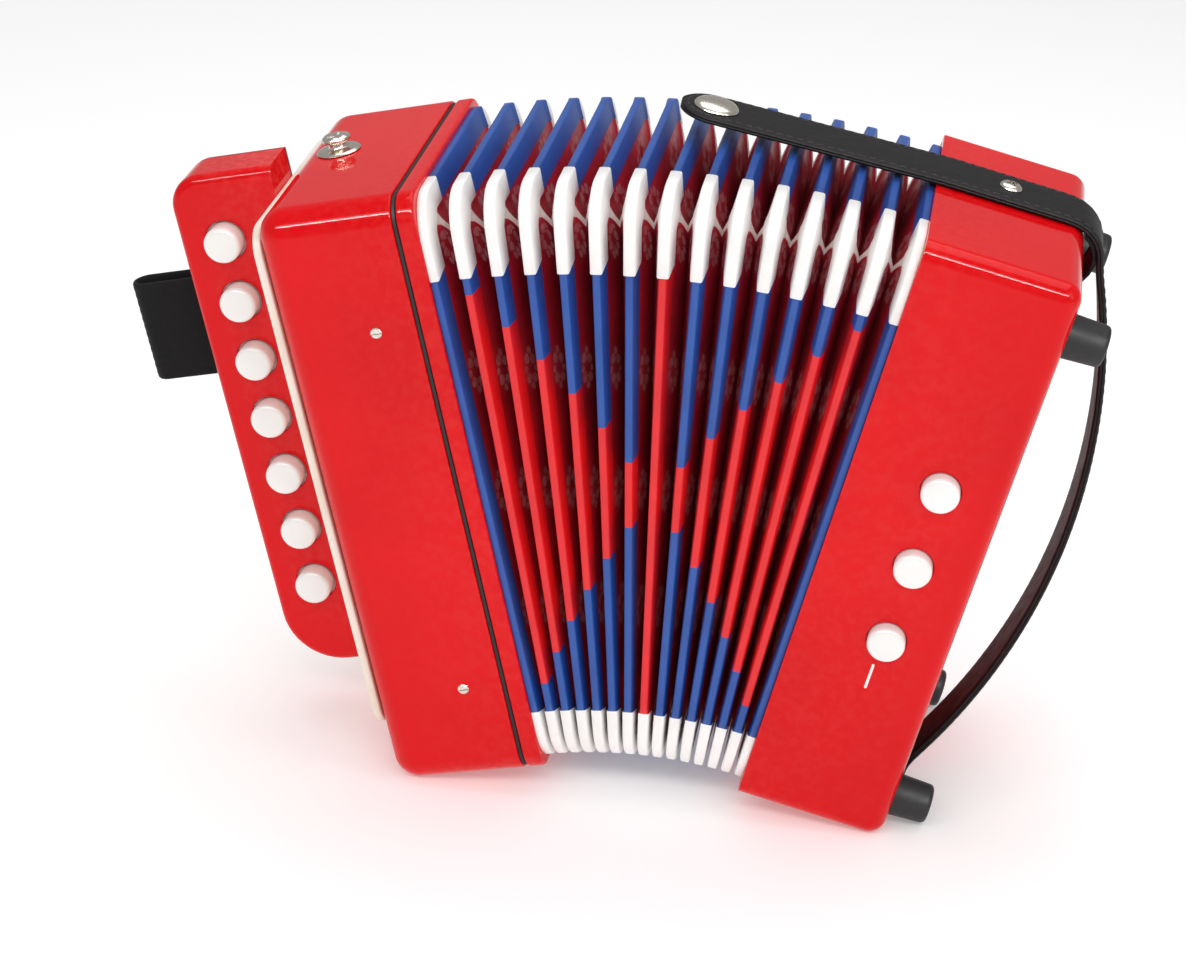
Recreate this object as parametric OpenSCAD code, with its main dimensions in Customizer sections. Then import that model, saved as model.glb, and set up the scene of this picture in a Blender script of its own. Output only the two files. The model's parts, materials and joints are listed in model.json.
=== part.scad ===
// Toy button accordion, standing on its two bottom edges with the bellows fanned open.
// Units are millimetres and +Z is up. The origin is under the middle of the whole object.
// A box frame has X outward from the bellows, Y from front to back and Z up along the box's lean.

/* [Boxes] */
// Height of both boxes, measured along their lean
case_h = 210; // [200:1:220]
// Depth of both boxes, from front to back
case_d = 106; // [100:1:112]
// Width of the treble box, from its seam to its outer side
treble_w = 45.75; // [44:0.25:50]
// Width of the bass box
bass_w = 50.6; // [48:0.2:56]
// Thickness of the walls of both boxes
wall = 3; // [2.5:0.5:3.5]
// Radius of the treble box's outer edges
treble_round = 9; // [7:0.5:10]
// Radius of the bass box's outer edges
bass_round = 6; // [4:0.5:7]

/* [Bellows] */
// Angle between the two boxes at rest
fan_angle = 26; // [22:1:30]
// Distance from the line where the folds would meet to the bottom of the ridges
fan_radius = 143; // [138:1:150]
// Width of a ridge when it is pressed flat
ridge_w = 2.3; // [2:0.1:3]
// How far a fold reaches inward from its ridge
fold_depth = 20; // [16:1:24]
// How far the tape reaches inward from the ridge
tape_depth = 7; // [5:0.5:9]
// Radius of the corners of the ridges
ridge_round = 13; // [10:0.5:15]

/* [Treble buttons] */
// Spacing of the treble buttons
treble_pitch = 21.4; // [20.5:0.1:21.6]
// Diameter of every button
button_d = 12.5; // [12:0.5:14.5]
// How far a treble button stands out of the fingerboard
treble_proud = 6; // [5:0.5:7]

/* [Bass buttons] */
// Spacing of the bass buttons
bass_pitch = 28.5; // [26:0.5:30]
// How far a bass button stands out of the box
bass_proud = 4.5; // [2:0.5:5]
// How far a bass button is pressed
bass_travel = 3; // [2:0.5:3.5]

/* [Fingerboard] */
// Height of the fingerboard
board_h = 184; // [180:1:186]
// Width of the fingerboard
board_w = 37; // [36:0.5:40]
// Thickness of the fingerboard
board_t = 21; // [20:0.5:23]

/* [Straps] */
// Width of the leather hand strap
strap_w = 23; // [18:1:24]
// Thickness of the leather strap
strap_t = 2.4; // [2:0.1:2.6]
// How far the hand strap stands out from the side of the bass box
strap_bow = 25; // [20:1:30]
// Length of the closing strap, from the edge of the bass box to the middle of its snap
closing_len = 76.5; // [66:0.5:78]
// Width of the elastic thumb loop
thumb_w = 36; // [30:1:40]
// How far the thumb loop reaches past the fingerboard
thumb_reach = 31; // [26:1:34]

/* [Hidden] */
$fn = 64;
small_fn = 32;
skin = 0.05;      // running clearance, or the gap left around a fitted piece
eps = 0.01;       // overlap that makes a cut pass clean through a face
gaps = 14;        // gaps between the fifteen ridges
treble_keys = 7;
bass_keys = 3;    // two chords and the air valve
half_fan = fan_angle / 2;
gap_angle = fan_angle / gaps;
ridge_inset = 2;  // the ridges stop this far short of the top and bottom of the boxes
bellows_h = case_h - 2 * ridge_inset;
bellows_d = case_d - 3;
case_r = fan_radius - ridge_inset;
card_t = 1;       // thickness of the folded card behind the tape

// Treble side, outward from the bellows: frame, seal, box, end board, fingerboard
frame_w = 6;
seal_w = 1.5;
spigot_w = 18;    // length of the frame's sleeve inside the treble box
spigot_t = 4;
case_x = frame_w + seal_w;
board_x = case_x + treble_w;
end_board_t = 3;
end_board_z = 20;
end_board_h = case_h - end_board_z - 6;
end_board_d = case_d - 10;
end_board_round = 9;
finger_x = board_x + end_board_t;
finger_z = 30;
finger_y = -14;   // front face of the fingerboard
finger_wall = 2.5;
finger_end = finger_x + board_w;
finger_top_round = 11;
finger_low_round = 20;

// Treble action: a button pushes a bell-crank lever on an axle, which lifts a pad off its air hole
button_x = finger_x + 21;
first_button_z = 62.5;
lever_x = finger_x + 4.5;
axle_y = finger_y + 15;
axle_d = 2;
hub_d = 4.6;
pad_d = 8.4;
pad_t = 1.6;
pad_y = finger_y + 8.4;
air_hole_d = 5.5;
lever_t = 3;      // height of a lever along the axle
arm_t = 1.6;
lever_arm_y = axle_y - 1.2;
stem_d = 5;
tip_d = 1.2;
stem_end_y = lever_arm_y - 0.2;
button_hole_d = button_d + 1.4;

// Bass side
bass_button_x = 29.6;
first_bass_z = 75;
bass_stem_d = 5;
valve_y = -case_d / 2 + 14;
valve_t = 3;
pallet_d = 16;
pallet_t = 4;
foot_d = 15;
foot_len = 13;
foot_y = 39;
foot_low_z = 11.5;
foot_high_z = 189.5;

// Hand strap: over the top of the bass box, round its corner and down its side in one bow
strap_y = 10;
strap_gap = 0.3;
strap_screw_x = 23.5;
strap_low_z = 4;
strap_low_len = 11;     // straight length against the box at the low screw
strap_skew = 8.5;       // the bow leans forward by this angle on its way down
strap_top_z = case_h + strap_gap;
corner_bend = 12;
closing_dip = 2.5;   // the closing strap dips this many degrees, to lie along the ridges
hinge_back = 21.5;   // distance from the screw to the line where the strap bends at the edge of the box
hinge_gap = 0.5;     // room between two lengths of strap at a line where it bends
root_len = 20;       // length of the strap that the closing folds lift, between its two bending lines
screw_head_d = 7.5;
snap_d = 15;

// Thumb loop
thumb_z = 136;
thumb_t = 1.6;
thumb_gap = 7;

// Where the object stands: the lower of the two rounded bottom edges touches Z = 0
function low_edge(x, r) = (case_r + r) * cos(half_fan) - (x - r) * sin(half_fan) - r;
fan_z = -min(low_edge(ridge_w / 2 + board_x, treble_round), low_edge(ridge_w / 2 + bass_w, bass_round));

// The bow of the hand strap is one arc from the top corner to the lower screw
bow_top_x = bass_w + 6;
bow_top_z = strap_top_z - corner_bend;
bow_low_x = bass_w + strap_gap;
bow_low_z = strap_low_z + strap_low_len;
bow_chord = norm([bow_top_x - bow_low_x, bow_top_z - bow_low_z]);
bow_rise = strap_bow - (bow_top_x - bow_low_x) / 2;
bow_r = (bow_chord * bow_chord / 4 + bow_rise * bow_rise) / (2 * bow_rise);
bow_tilt = atan2(bow_top_x - bow_low_x, bow_top_z - bow_low_z);
bow_half = asin(bow_chord / 2 / bow_r);
bow_mid_x = (bow_top_x + bow_low_x) / 2;
bow_mid_z = (bow_top_z + bow_low_z) / 2;
bow_x = bow_mid_x - (bow_r - bow_rise) * cos(bow_tilt);
bow_z = bow_mid_z + (bow_r - bow_rise) * sin(bow_tilt);

// The middle of the whole object in plan puts the origin under it
left_reach = (ridge_w / 2 + finger_end + thumb_reach) * cos(half_fan)
    + (case_r + thumb_z + thumb_w) * sin(half_fan);
right_reach = (ridge_w / 2 + bow_x) * cos(half_fan)
    + (case_r + bow_top_z - (bow_top_z - bow_z) * cos(strap_skew)) * sin(half_fan)
    + (bow_r + strap_t) * norm([cos(half_fan), sin(half_fan) * cos(strap_skew)])
    + strap_w / 2 * sin(strap_skew) * sin(half_fan);
pin_proud = 0.6;
mid_x = (right_reach - left_reach) / 2;
mid_y = (pin_proud - bass_proud) / 2;

// ---------- frames ----------

// Frame of the fan at one angle: X across the bellows, Z outward from the line where folds meet
module on_fan(angle) {
    translate([-mid_x, -mid_y, fan_z]) rotate([0, angle, 0]) children();
}

// Box frame of the treble side: its X runs outward, to the left
module treble_side() {
    on_fan(-half_fan) translate([-ridge_w / 2, 0, case_r]) mirror([1, 0, 0]) children();
}

// Box frame of the bass side: its X runs outward, to the right
module bass_side() {
    on_fan(half_fan) translate([ridge_w / 2, 0, case_r]) children();
}

// ---------- shared shapes ----------

// Rectangle with round corners, centred on X, standing on Y = 0
module rounded_rect(w, h, r) {
    translate([-w / 2 + r, 0]) square([w - 2 * r, h]);
    translate([-w / 2, r]) square([w, h - 2 * r]);
    for (x = [-w / 2 + r, w / 2 - r], y = [r, h - r]) translate([x, y]) circle(r);
}

// Flat piece drawn in Y and Z that reaches a distance along X
module along_x(len) {
    rotate([90, 0, 90]) linear_extrude(len) children();
}

// Plate of a thickness along X, as deep in Y and as high in Z as given
module plate(t, d, h, r) {
    along_x(t) rounded_rect(d, h, r);
}

// Plate with an opening that leaves a border of one width all round
module ring_plate(t, d, h, r, border) {
    along_x(t) difference() {
        rounded_rect(d, h, r);
        translate([0, border]) rounded_rect(d - 2 * border, h - 2 * border, max(r - border, 2));
    }
}

// Cylinder along X
module rod_x(d, len) {
    rotate([0, 90, 0]) cylinder(h = len, d = d);
}

// Cylinder along Y
module rod_y(d, len) {
    rotate([-90, 0, 0]) cylinder(h = len, d = d);
}

// Box open towards the bellows, with its four long edges and its outer rim rounded
module box_shell(w, r) {
    difference() {
        intersection() {
            plate(w, case_d, case_h, r);
            translate([0, case_d / 2, 0]) rotate([90, 0, 0]) linear_extrude(case_d)
                rim_profile(w, case_h, r);
            translate([0, -case_d / 2, 0]) linear_extrude(case_h) rim_profile(w, case_d, r);
        }
        translate([-eps, 0, wall]) plate(w - wall + eps, case_d - 2 * wall, case_h - 2 * wall, r - wall);
    }
}

// Rectangle with its two outer corners rounded
module rim_profile(w, h, r) {
    square([w - r, h]);
    translate([0, r]) square([w, h - 2 * r]);
    for (y = [r, h - r]) translate([w - r, y]) circle(r);
}

// ---------- bellows ----------

// One fold: a ring of card with tape bound round its ridge
module fold_ring() {
    translate([-card_t / 2, 0, fan_radius])
        ring_plate(card_t, bellows_d, bellows_h, ridge_round, fold_depth);
    translate([-ridge_w / 2, 0, fan_radius])
        ring_plate(ridge_w, bellows_d, bellows_h, ridge_round, tape_depth);
}

module bellows_fold(number) {
    color("royalblue") on_fan(-half_fan + number * gap_angle) fold_ring();
}

module bellows_end_treble() {
    color("royalblue") on_fan(-half_fan) fold_ring();
}

module bellows_end_bass() {
    color("royalblue") on_fan(half_fan) fold_ring();
}

// ---------- treble side ----------

// Frame that the bellows are glued to, with a sleeve that the treble box slides over
module treble_bellows_frame() {
    color("crimson") treble_side() difference() {
        union() {
            ring_plate(frame_w, case_d, case_h, treble_round, 15);
            translate([frame_w - eps, 0, wall + skin]) ring_plate(
                spigot_w + seal_w, case_d - 2 * wall - 2 * skin, case_h - 2 * wall - 2 * skin,
                treble_round - wall, spigot_t);
        }
        pin_holes();
    }
}

module treble_seal() {
    color("black") treble_side() translate([frame_w, 0, 0.6])
        ring_plate(seal_w, case_d - 1.2, case_h - 1.2, treble_round - 0.6, wall - 0.6);
}

// The treble box, bored for its pins, its stud and its seven air holes
module treble_case() {
    color("red") treble_side() difference() {
        translate([case_x, 0, 0]) box_shell(treble_w, treble_round);
        pin_holes();
        at_stud() translate([0, 0, -wall - 1]) cylinder(h = wall + 2, d = stud_rivet_d);
        air_holes();
    }
}

pin_x = 20.8;
pin_d = 4;
pin_len = 7;

// Runs its children at the four pins, which look outward from the front and the back
module at_pins() {
    for (z = [36, 167]) {
        translate([pin_x, -case_d / 2, z]) children();
        translate([pin_x, case_d / 2, z]) mirror([0, 1, 0]) children();
    }
}

module pin_holes() {
    at_pins() translate([0, -1, 0]) rod_y(pin_d, pin_len + 1);
}

module frame_pins() {
    color("silver") treble_side() at_pins() difference() {
        translate([0, -pin_proud, 0]) rod_y(pin_d - 2 * skin, pin_len + pin_proud - skin);
        translate([-pin_d, -1 - pin_proud, -0.4]) cube([2 * pin_d, 1.6, 0.8]);
    }
}

function key_z(i) = first_button_z + (i - 1) * treble_pitch;

// Runs its children at the height of each treble key
module at_keys() {
    for (i = [1 : treble_keys]) translate([0, 0, key_z(i)]) children();
}

module air_holes() {
    at_keys() translate([board_x - wall - 1, pad_y, 0]) rod_x(air_hole_d, wall + end_board_t + 2);
}

module end_board() {
    color("ivory") treble_side() difference() {
        translate([board_x, 0, end_board_z]) plate(end_board_t, end_board_d, end_board_h, end_board_round);
        air_holes();
    }
}

// Outline of the fingerboard seen from the front, with X outward from the end board
module finger_outline(inset) {
    w = board_w - inset;
    low = finger_z + inset;
    high = finger_z + board_h - inset;
    top_r = finger_top_round - inset;
    low_r = finger_low_round - inset;
    intersection() {
        translate([0, low]) square([w, high - low]);
        hull() {
            translate([w - low_r, low + low_r]) circle(low_r);
            translate([w - top_r, high - top_r]) circle(top_r);
            translate([-1, low]) square([1, high - low]);
        }
    }
}

// Places a front outline so that it reaches back a distance from a depth
module from_front(y, t) {
    translate([finger_x, y + t, 0]) rotate([90, 0, 0]) linear_extrude(t) children();
}

back_t = 2;

// Hollow fingerboard, open at the back, bored for its buttons
module fingerboard() {
    color("red") treble_side() difference() {
        from_front(finger_y, board_t - back_t) finger_outline(0);
        from_front(finger_y + finger_wall, board_t) {
            finger_outline(finger_wall);
            translate([-1, finger_z + finger_wall]) square([2, board_h - 2 * finger_wall]);
        }
        at_keys() translate([button_x, finger_y - 1, 0]) rod_y(button_hole_d, finger_wall + 2);
        at_axle_ends() cylinder(h = finger_wall, d = axle_d, $fn = small_fn);
    }
}

axle_low_z = finger_z + finger_wall;
axle_high_z = finger_z + board_h - finger_wall;
axle_seat = 1.5;

// Blind seats for the axle in the bottom and top walls of the fingerboard
module at_axle_ends() {
    for (z = [axle_low_z - axle_seat, axle_high_z - 1]) translate([lever_x, axle_y, z]) children();
}

module fingerboard_back() {
    color("firebrick") treble_side() difference() {
        from_front(finger_y + board_t - back_t, back_t) finger_outline(0);
        at_thumb_screws() translate([0, -back_t - 1, 0]) rod_y(thumb_screw_d, back_t + 2);
    }
}

module key_axle() {
    color("silver") treble_side() translate([lever_x, axle_y, axle_low_z - axle_seat + skin])
        cylinder(h = axle_high_z - axle_low_z + 2 * axle_seat - 1, d = axle_d - 2 * skin, $fn = small_fn);
}

// Three coils of wire beside each lever
module key_springs() {
    wire_d = 0.6;
    color("gray") treble_side() at_keys() for (turn = [0 : 2])
        translate([lever_x, axle_y, lever_t / 2 + 0.8 + turn * 1.1]) rotate_extrude($fn = small_fn)
            translate([axle_d / 2 + wire_d / 2 + 0.3, 0]) circle(d = wire_d, $fn = 16);
}

// Button cap with a bevelled face, a flange that keeps it in, and a stem that meets the lever
module treble_button(number) {
    face_y = finger_y - treble_proud;
    flange_y = finger_y + finger_wall + 0.2;
    color("white") treble_side() translate([button_x, 0, key_z(number)]) {
        translate([0, face_y, 0]) rotate([-90, 0, 0]) rotate_extrude() polygon([
            [0, 0], [button_d / 2 - 1, 0], [button_d / 2, 1], [button_d / 2, flange_y - face_y],
            [button_d / 2 + 1.6, flange_y - face_y], [button_d / 2 + 1.6, flange_y - face_y + 1.2],
            [stem_d / 2, flange_y - face_y + 1.2], [stem_d / 2, stem_end_y - face_y - 2],
            [tip_d / 2, stem_end_y - face_y], [0, stem_end_y - face_y]
        ]);
    }
}

// Bell-crank lever: hub on the axle, an arm under the button's stem, an arm to the felt pad
module treble_lever(number) {
    color("silver") treble_side() translate([0, 0, key_z(number) - lever_t / 2]) {
        difference() {
            union() {
                translate([lever_x, axle_y, 0]) cylinder(h = lever_t, d = hub_d, $fn = small_fn);
                translate([lever_x, lever_arm_y, 0]) cube([button_x - lever_x + 1, arm_t, lever_t]);
                translate([finger_x + pad_t, pad_y - 1.5, 0]) cube([arm_t, axle_y - pad_y + 1.5, lever_t]);
            }
            translate([lever_x, axle_y, -1]) cylinder(h = lever_t + 2, d = axle_d, $fn = small_fn);
        }
        translate([finger_x + skin, pad_y, lever_t / 2]) rod_x(pad_d, pad_t - skin);
    }
}

reed_block_t = 12;
reed_x = board_x - wall - reed_block_t;
reed_d = 26;
reed_plate_t = 1.2;
reed_margin = 13;
reed_gap = 4.5;      // each tongue's distance from the middle of its plate

// Wooden block with a chamber for each key, open towards the bellows
module reed_block(keys, pitch) {
    border = 3;
    difference() {
        translate([0, -reed_d / 2, -reed_margin])
            cube([reed_block_t, reed_d, (keys - 1) * pitch + 2 * reed_margin]);
        for (i = [0 : keys - 1]) {
            translate([-1, border - reed_d / 2, i * pitch - 8])
                cube([reed_block_t - 1, reed_d - 2 * border, 16]);
            translate([0, 0, i * pitch]) rod_x(air_hole_d, reed_block_t + 1);
        }
    }
}

// Metal plate with a slot and a tongue for the push and the draw of each key
module reed_plate(keys, pitch) {
    slot_h = 14;
    slot_d = 3.2;
    tongue_d = 2.8;
    difference() {
        translate([0, -reed_d / 2, -reed_margin])
            cube([reed_plate_t, reed_d, (keys - 1) * pitch + 2 * reed_margin]);
        for (i = [0 : keys - 1], y = [-reed_gap, reed_gap])
            translate([-1, y - slot_d / 2, i * pitch - slot_h / 2]) cube([reed_plate_t + 2, slot_d, slot_h]);
    }
    for (i = [0 : keys - 1], y = [-reed_gap, reed_gap])
        translate([0.4, y - tongue_d / 2, i * pitch - slot_h / 2]) cube([0.4, tongue_d, slot_h - 0.4]);
}

module treble_reed_block() {
    color("burlywood") treble_side() translate([reed_x, pad_y, key_z(1)])
        reed_block(treble_keys, treble_pitch);
}

module treble_reed_plate() {
    color("gold") treble_side() translate([reed_x - reed_plate_t, pad_y, key_z(1)])
        reed_plate(treble_keys, treble_pitch);
}

stud_x = 38;
stud_y = 6;
stud_rivet_d = 4;

module at_stud() {
    translate([stud_x, stud_y, case_h]) children();
}

// Snap stud: washer, waist and round head, riveted through the box
module strap_stud() {
    color("silver") treble_side() at_stud() rotate_extrude() polygon([
        [0, -wall - 1.2], [3.5, -wall - 1.2], [3.5, -wall - skin], [stud_rivet_d / 2 - skin, -wall - skin],
        [stud_rivet_d / 2 - skin, skin / 2], [7.5, skin / 2], [7, 1], [3.4, 1.2], [3, 3], [4.4, 3.6],
        [4.9, 4.6], [4.4, 5.6], [2.6, 5.8], [0, 5.2]
    ]);
}

thumb_screw_d = 2.4;

module at_thumb_screws() {
    for (z = [thumb_z + 9, thumb_z + thumb_w - 9])
        translate([finger_end - 14, finger_y + board_t, z]) children();
}

// Elastic loop drawn in X and Y: a long slot with a round outer end
module loop_outline(inset) {
    r = thumb_gap / 2 + thumb_t - inset;
    start = finger_end - 20;
    end = finger_end + thumb_reach - thumb_gap / 2 - thumb_t;
    translate([start + inset, -r]) square([end - start - inset, 2 * r]);
    translate([end, 0]) circle(r);
}

loop_y = finger_y + board_t + thumb_gap / 2 + thumb_t;

module thumb_strap() {
    color("black") treble_side() difference() {
        translate([0, loop_y, thumb_z]) linear_extrude(thumb_w) difference() {
            loop_outline(0);
            loop_outline(thumb_t);
        }
        at_thumb_screws() translate([0, -1, 0]) rod_y(thumb_screw_d, thumb_t + 2);
    }
}

module thumb_strap_screws() {
    color("silver") treble_side() at_thumb_screws() {
        translate([0, -back_t, 0]) rod_y(thumb_screw_d - 2 * skin, back_t + thumb_t + 1);
        translate([0, thumb_t + skin, 0]) rod_y(5, 1.2);
    }
}

// ---------- bass side ----------

module bass_bellows_frame() {
    color("burlywood") bass_side() translate([0, 0, wall + skin]) ring_plate(
        frame_w, case_d - 2 * wall - 2 * skin, case_h - 2 * wall - 2 * skin, bass_round - wall, 14);
}

function bass_z(i) = first_bass_z + (i - 1) * bass_pitch;

// The bass box, bored for its buttons and its strap screws
module bass_case() {
    color("red") bass_side() difference() {
        box_shell(bass_w, bass_round);
        for (i = [1 : bass_keys]) translate([bass_button_x, -case_d / 2 - 1, bass_z(i)])
            rod_y(button_d + 0.6, wall + 2);
        at_strap_screws() translate([0, 0, -screw_len])
            cylinder(h = screw_len + 1, d = screw_d, $fn = small_fn);
    }
}

// Button cap with a bevelled face and a stem that carries the pallet
module bass_button(number) {
    face_y = -case_d / 2 - bass_proud;
    cap_len = bass_proud + wall + bass_travel;
    color("white") bass_side() translate([bass_button_x, face_y, bass_z(number)])
        rotate([-90, 0, 0]) rotate_extrude() polygon([
            [0, 0], [button_d / 2 - 1, 0], [button_d / 2, 1], [button_d / 2, cap_len],
            [bass_stem_d / 2, cap_len], [bass_stem_d / 2, valve_y + valve_t - face_y],
            [0, valve_y + valve_t - face_y]
        ]);
}

// Felt-faced disc that closes the valve board from behind and moves with its button
module bass_pallet(number) {
    color("tan") bass_side() translate([bass_button_x, valve_y + valve_t + skin, bass_z(number)])
        rod_y(pallet_d, pallet_t);
}

// Board across the box, with a valve hole behind each button
module bass_valve_board() {
    color("burlywood") bass_side() difference() {
        translate([frame_w + 1, valve_y, wall])
            cube([bass_w - wall - frame_w - 1, valve_t, case_h - 2 * wall]);
        for (i = [1 : bass_keys]) translate([bass_button_x, valve_y - 1, bass_z(i)])
            rod_y(bass_stem_d + 5, valve_t + 2);
    }
}

bass_reed_x = bass_w - wall - reed_block_t;
bass_reed_y = 6;

module bass_reed_block() {
    color("burlywood") bass_side() translate([bass_reed_x, bass_reed_y, bass_z(1)])
        reed_block(bass_keys, bass_pitch);
}

module bass_reed_plate() {
    color("gold") bass_side() translate([bass_reed_x - reed_plate_t, bass_reed_y, bass_z(1)])
        reed_plate(bass_keys, bass_pitch);
}

// Four rubber feet on the side of the bass box
module rubber_feet() {
    color("black") bass_side() for (y = [-foot_y, foot_y], z = [foot_low_z, foot_high_z])
        translate([bass_w, y, z]) rotate([0, 90, 0]) rotate_extrude() polygon([
            [0, 0], [foot_d / 2, 0], [foot_d / 2 - 0.8, foot_len - 1.2],
            [foot_d / 2 - 2, foot_len], [0, foot_len]
        ]);
}

screw_d = 3;
screw_len = 8;

// Runs its children at the strap's two screws, each looking outward from its wall
module at_strap_screws() {
    translate([strap_screw_x, strap_y, case_h]) children();
    skewed() translate([bass_w, strap_y, strap_low_z + 6]) rotate([0, 90, 0]) children();
}

// Leans its children forward about the point where the strap has turned the corner
module skewed() {
    translate([0, strap_y, bow_top_z]) rotate([-strap_skew, 0, 0])
        translate([0, -strap_y, -bow_top_z]) children();
}

// Gives a drawing in X and Z the strap's width
module strap_wide() {
    translate([0, strap_y + strap_w / 2, 0]) rotate([90, 0, 0]) linear_extrude(strap_w) children();
}

// Arc band in X and Z between two angles, measured from X towards Z
module arc_band(x, z, r, from, to) {
    steps = 24;
    angles = [for (i = [0 : steps]) from + (to - from) * i / steps];
    polygon(concat(
        [for (a = angles) [x + r * cos(a), z + r * sin(a)]],
        [for (i = [steps : -1 : 0]) [x + (r + strap_t) * cos(angles[i]), z + (r + strap_t) * sin(angles[i])]]
    ));
}

// Leather strap screwed on top, bent round the corner, bowed out for the hand and screwed low down
module hand_strap() {
    corner_x = bow_top_x - corner_bend;
    color("black") bass_side() difference() {
        union() {
            strap_wide() {
                translate([strap_screw_x - hinge_back, strap_top_z])
                    square([corner_x - strap_screw_x + hinge_back, strap_t]);
                arc_band(corner_x, bow_top_z, corner_bend, 90, -strap_skew);
            }
            skewed() strap_wide() {
                arc_band(bow_x, bow_z, bow_r, -bow_tilt + bow_half, -bow_tilt - bow_half);
                translate([bass_w + strap_gap, strap_low_z]) square([strap_t, strap_low_len]);
            }
        }
        at_strap_screws() cylinder(h = 10, d = screw_d + 0.4, $fn = small_fn);
    }
}

module hand_strap_screws() {
    color("silver") bass_side() at_strap_screws() {
        translate([0, 0, -screw_len + skin])
            cylinder(h = screw_len + strap_t + 1, d = screw_d - 2 * skin, $fn = small_fn);
        translate([0, 0, strap_gap + strap_t + skin]) cylinder(h = 1.6, d = screw_head_d);
    }
}

// Frame of the closing strap: X runs from the edge of the box towards the snap, Z up from its underside
module closing_frame() {
    bass_side() translate([strap_screw_x - hinge_back, strap_y, strap_top_z])
        rotate([0, 0, 180]) rotate([0, closing_dip, 0]) children();
}

// First length of the closing strap, which rises from the edge of the box as the folds close under it
module closing_strap_root() {
    color("black") closing_frame() translate([hinge_gap, -strap_w / 2, 0])
        cube([root_len - 2 * hinge_gap, strap_w, strap_t]);
}

// The rest of the closing strap, which is lifted by hand
module closing_strap() {
    color("black") closing_frame() difference() {
        linear_extrude(strap_t) union() {
            translate([root_len, -strap_w / 2]) square([closing_len - root_len, strap_w]);
            translate([closing_len, 0]) circle(d = strap_w);
        }
        translate([closing_len, 0, -1]) cylinder(h = strap_t + 2, d = 5);
    }
}

// Domed cap above the strap and the snap's socket below it, joined through the leather
module snap_cap() {
    color("silver") closing_frame() translate([closing_len, 0, 0]) rotate_extrude() polygon([
        [2.4, -1.6], [4.8, -1.6], [5.4, -skin], [2.5 - skin, -skin], [2.5 - skin, strap_t + skin],
        [snap_d / 2, strap_t + skin], [snap_d / 2 - 0.6, strap_t + 1.2], [snap_d / 2 - 3, strap_t + 2.2],
        [0, strap_t + 2.6], [0, strap_t - 1], [2.4, strap_t - 1]
    ]);
}

// ---------- output ----------

treble_bellows_frame();
bellows_end_treble();
treble_seal();
treble_case();
end_board();
fingerboard();
fingerboard_back();
thumb_strap();
thumb_strap_screws();
key_axle();
key_springs();
treble_reed_block();
treble_reed_plate();
strap_stud();
frame_pins();
treble_button(1);  // treble_button_1
treble_button(2);  // treble_button_2
treble_button(3);  // treble_button_3
treble_button(4);  // treble_button_4
treble_button(5);  // treble_button_5
treble_button(6);  // treble_button_6
treble_button(7);  // treble_button_7
treble_lever(1);  // treble_lever_1
treble_lever(2);  // treble_lever_2
treble_lever(3);  // treble_lever_3
treble_lever(4);  // treble_lever_4
treble_lever(5);  // treble_lever_5
treble_lever(6);  // treble_lever_6
treble_lever(7);  // treble_lever_7
bellows_fold(1);  // bellows_fold_01
bellows_fold(2);  // bellows_fold_02
bellows_fold(3);  // bellows_fold_03
bellows_fold(4);  // bellows_fold_04
bellows_fold(5);  // bellows_fold_05
bellows_fold(6);  // bellows_fold_06
bellows_fold(7);  // bellows_fold_07
bellows_fold(8);  // bellows_fold_08
bellows_fold(9);  // bellows_fold_09
bellows_fold(10);  // bellows_fold_10
bellows_fold(11);  // bellows_fold_11
bellows_fold(12);  // bellows_fold_12
bellows_fold(13);  // bellows_fold_13
bellows_end_bass();
bass_bellows_frame();
bass_case();
bass_valve_board();
bass_reed_block();
bass_reed_plate();
bass_button(1);  // bass_button_1
bass_button(2);  // bass_button_2
bass_button(3);  // bass_button_3
bass_pallet(1);  // bass_pallet_1
bass_pallet(2);  // bass_pallet_2
bass_pallet(3);  // bass_pallet_3
rubber_feet();
hand_strap();
hand_strap_screws();
closing_strap_root();
closing_strap();
snap_cap();
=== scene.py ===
"""Looks of the toy button accordion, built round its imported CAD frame.

Lengths are in millimetres until fan_point turns them into the frame's metres. Two sets of axes are used:
- the fan: an angle about the line where all the folds would meet, x across the bellows at that angle,
  y from front to back, r outward from that line;
- a box: u outward from the bellows, y from front to back, z up the lean of the box.
"""

import json
import math

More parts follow.
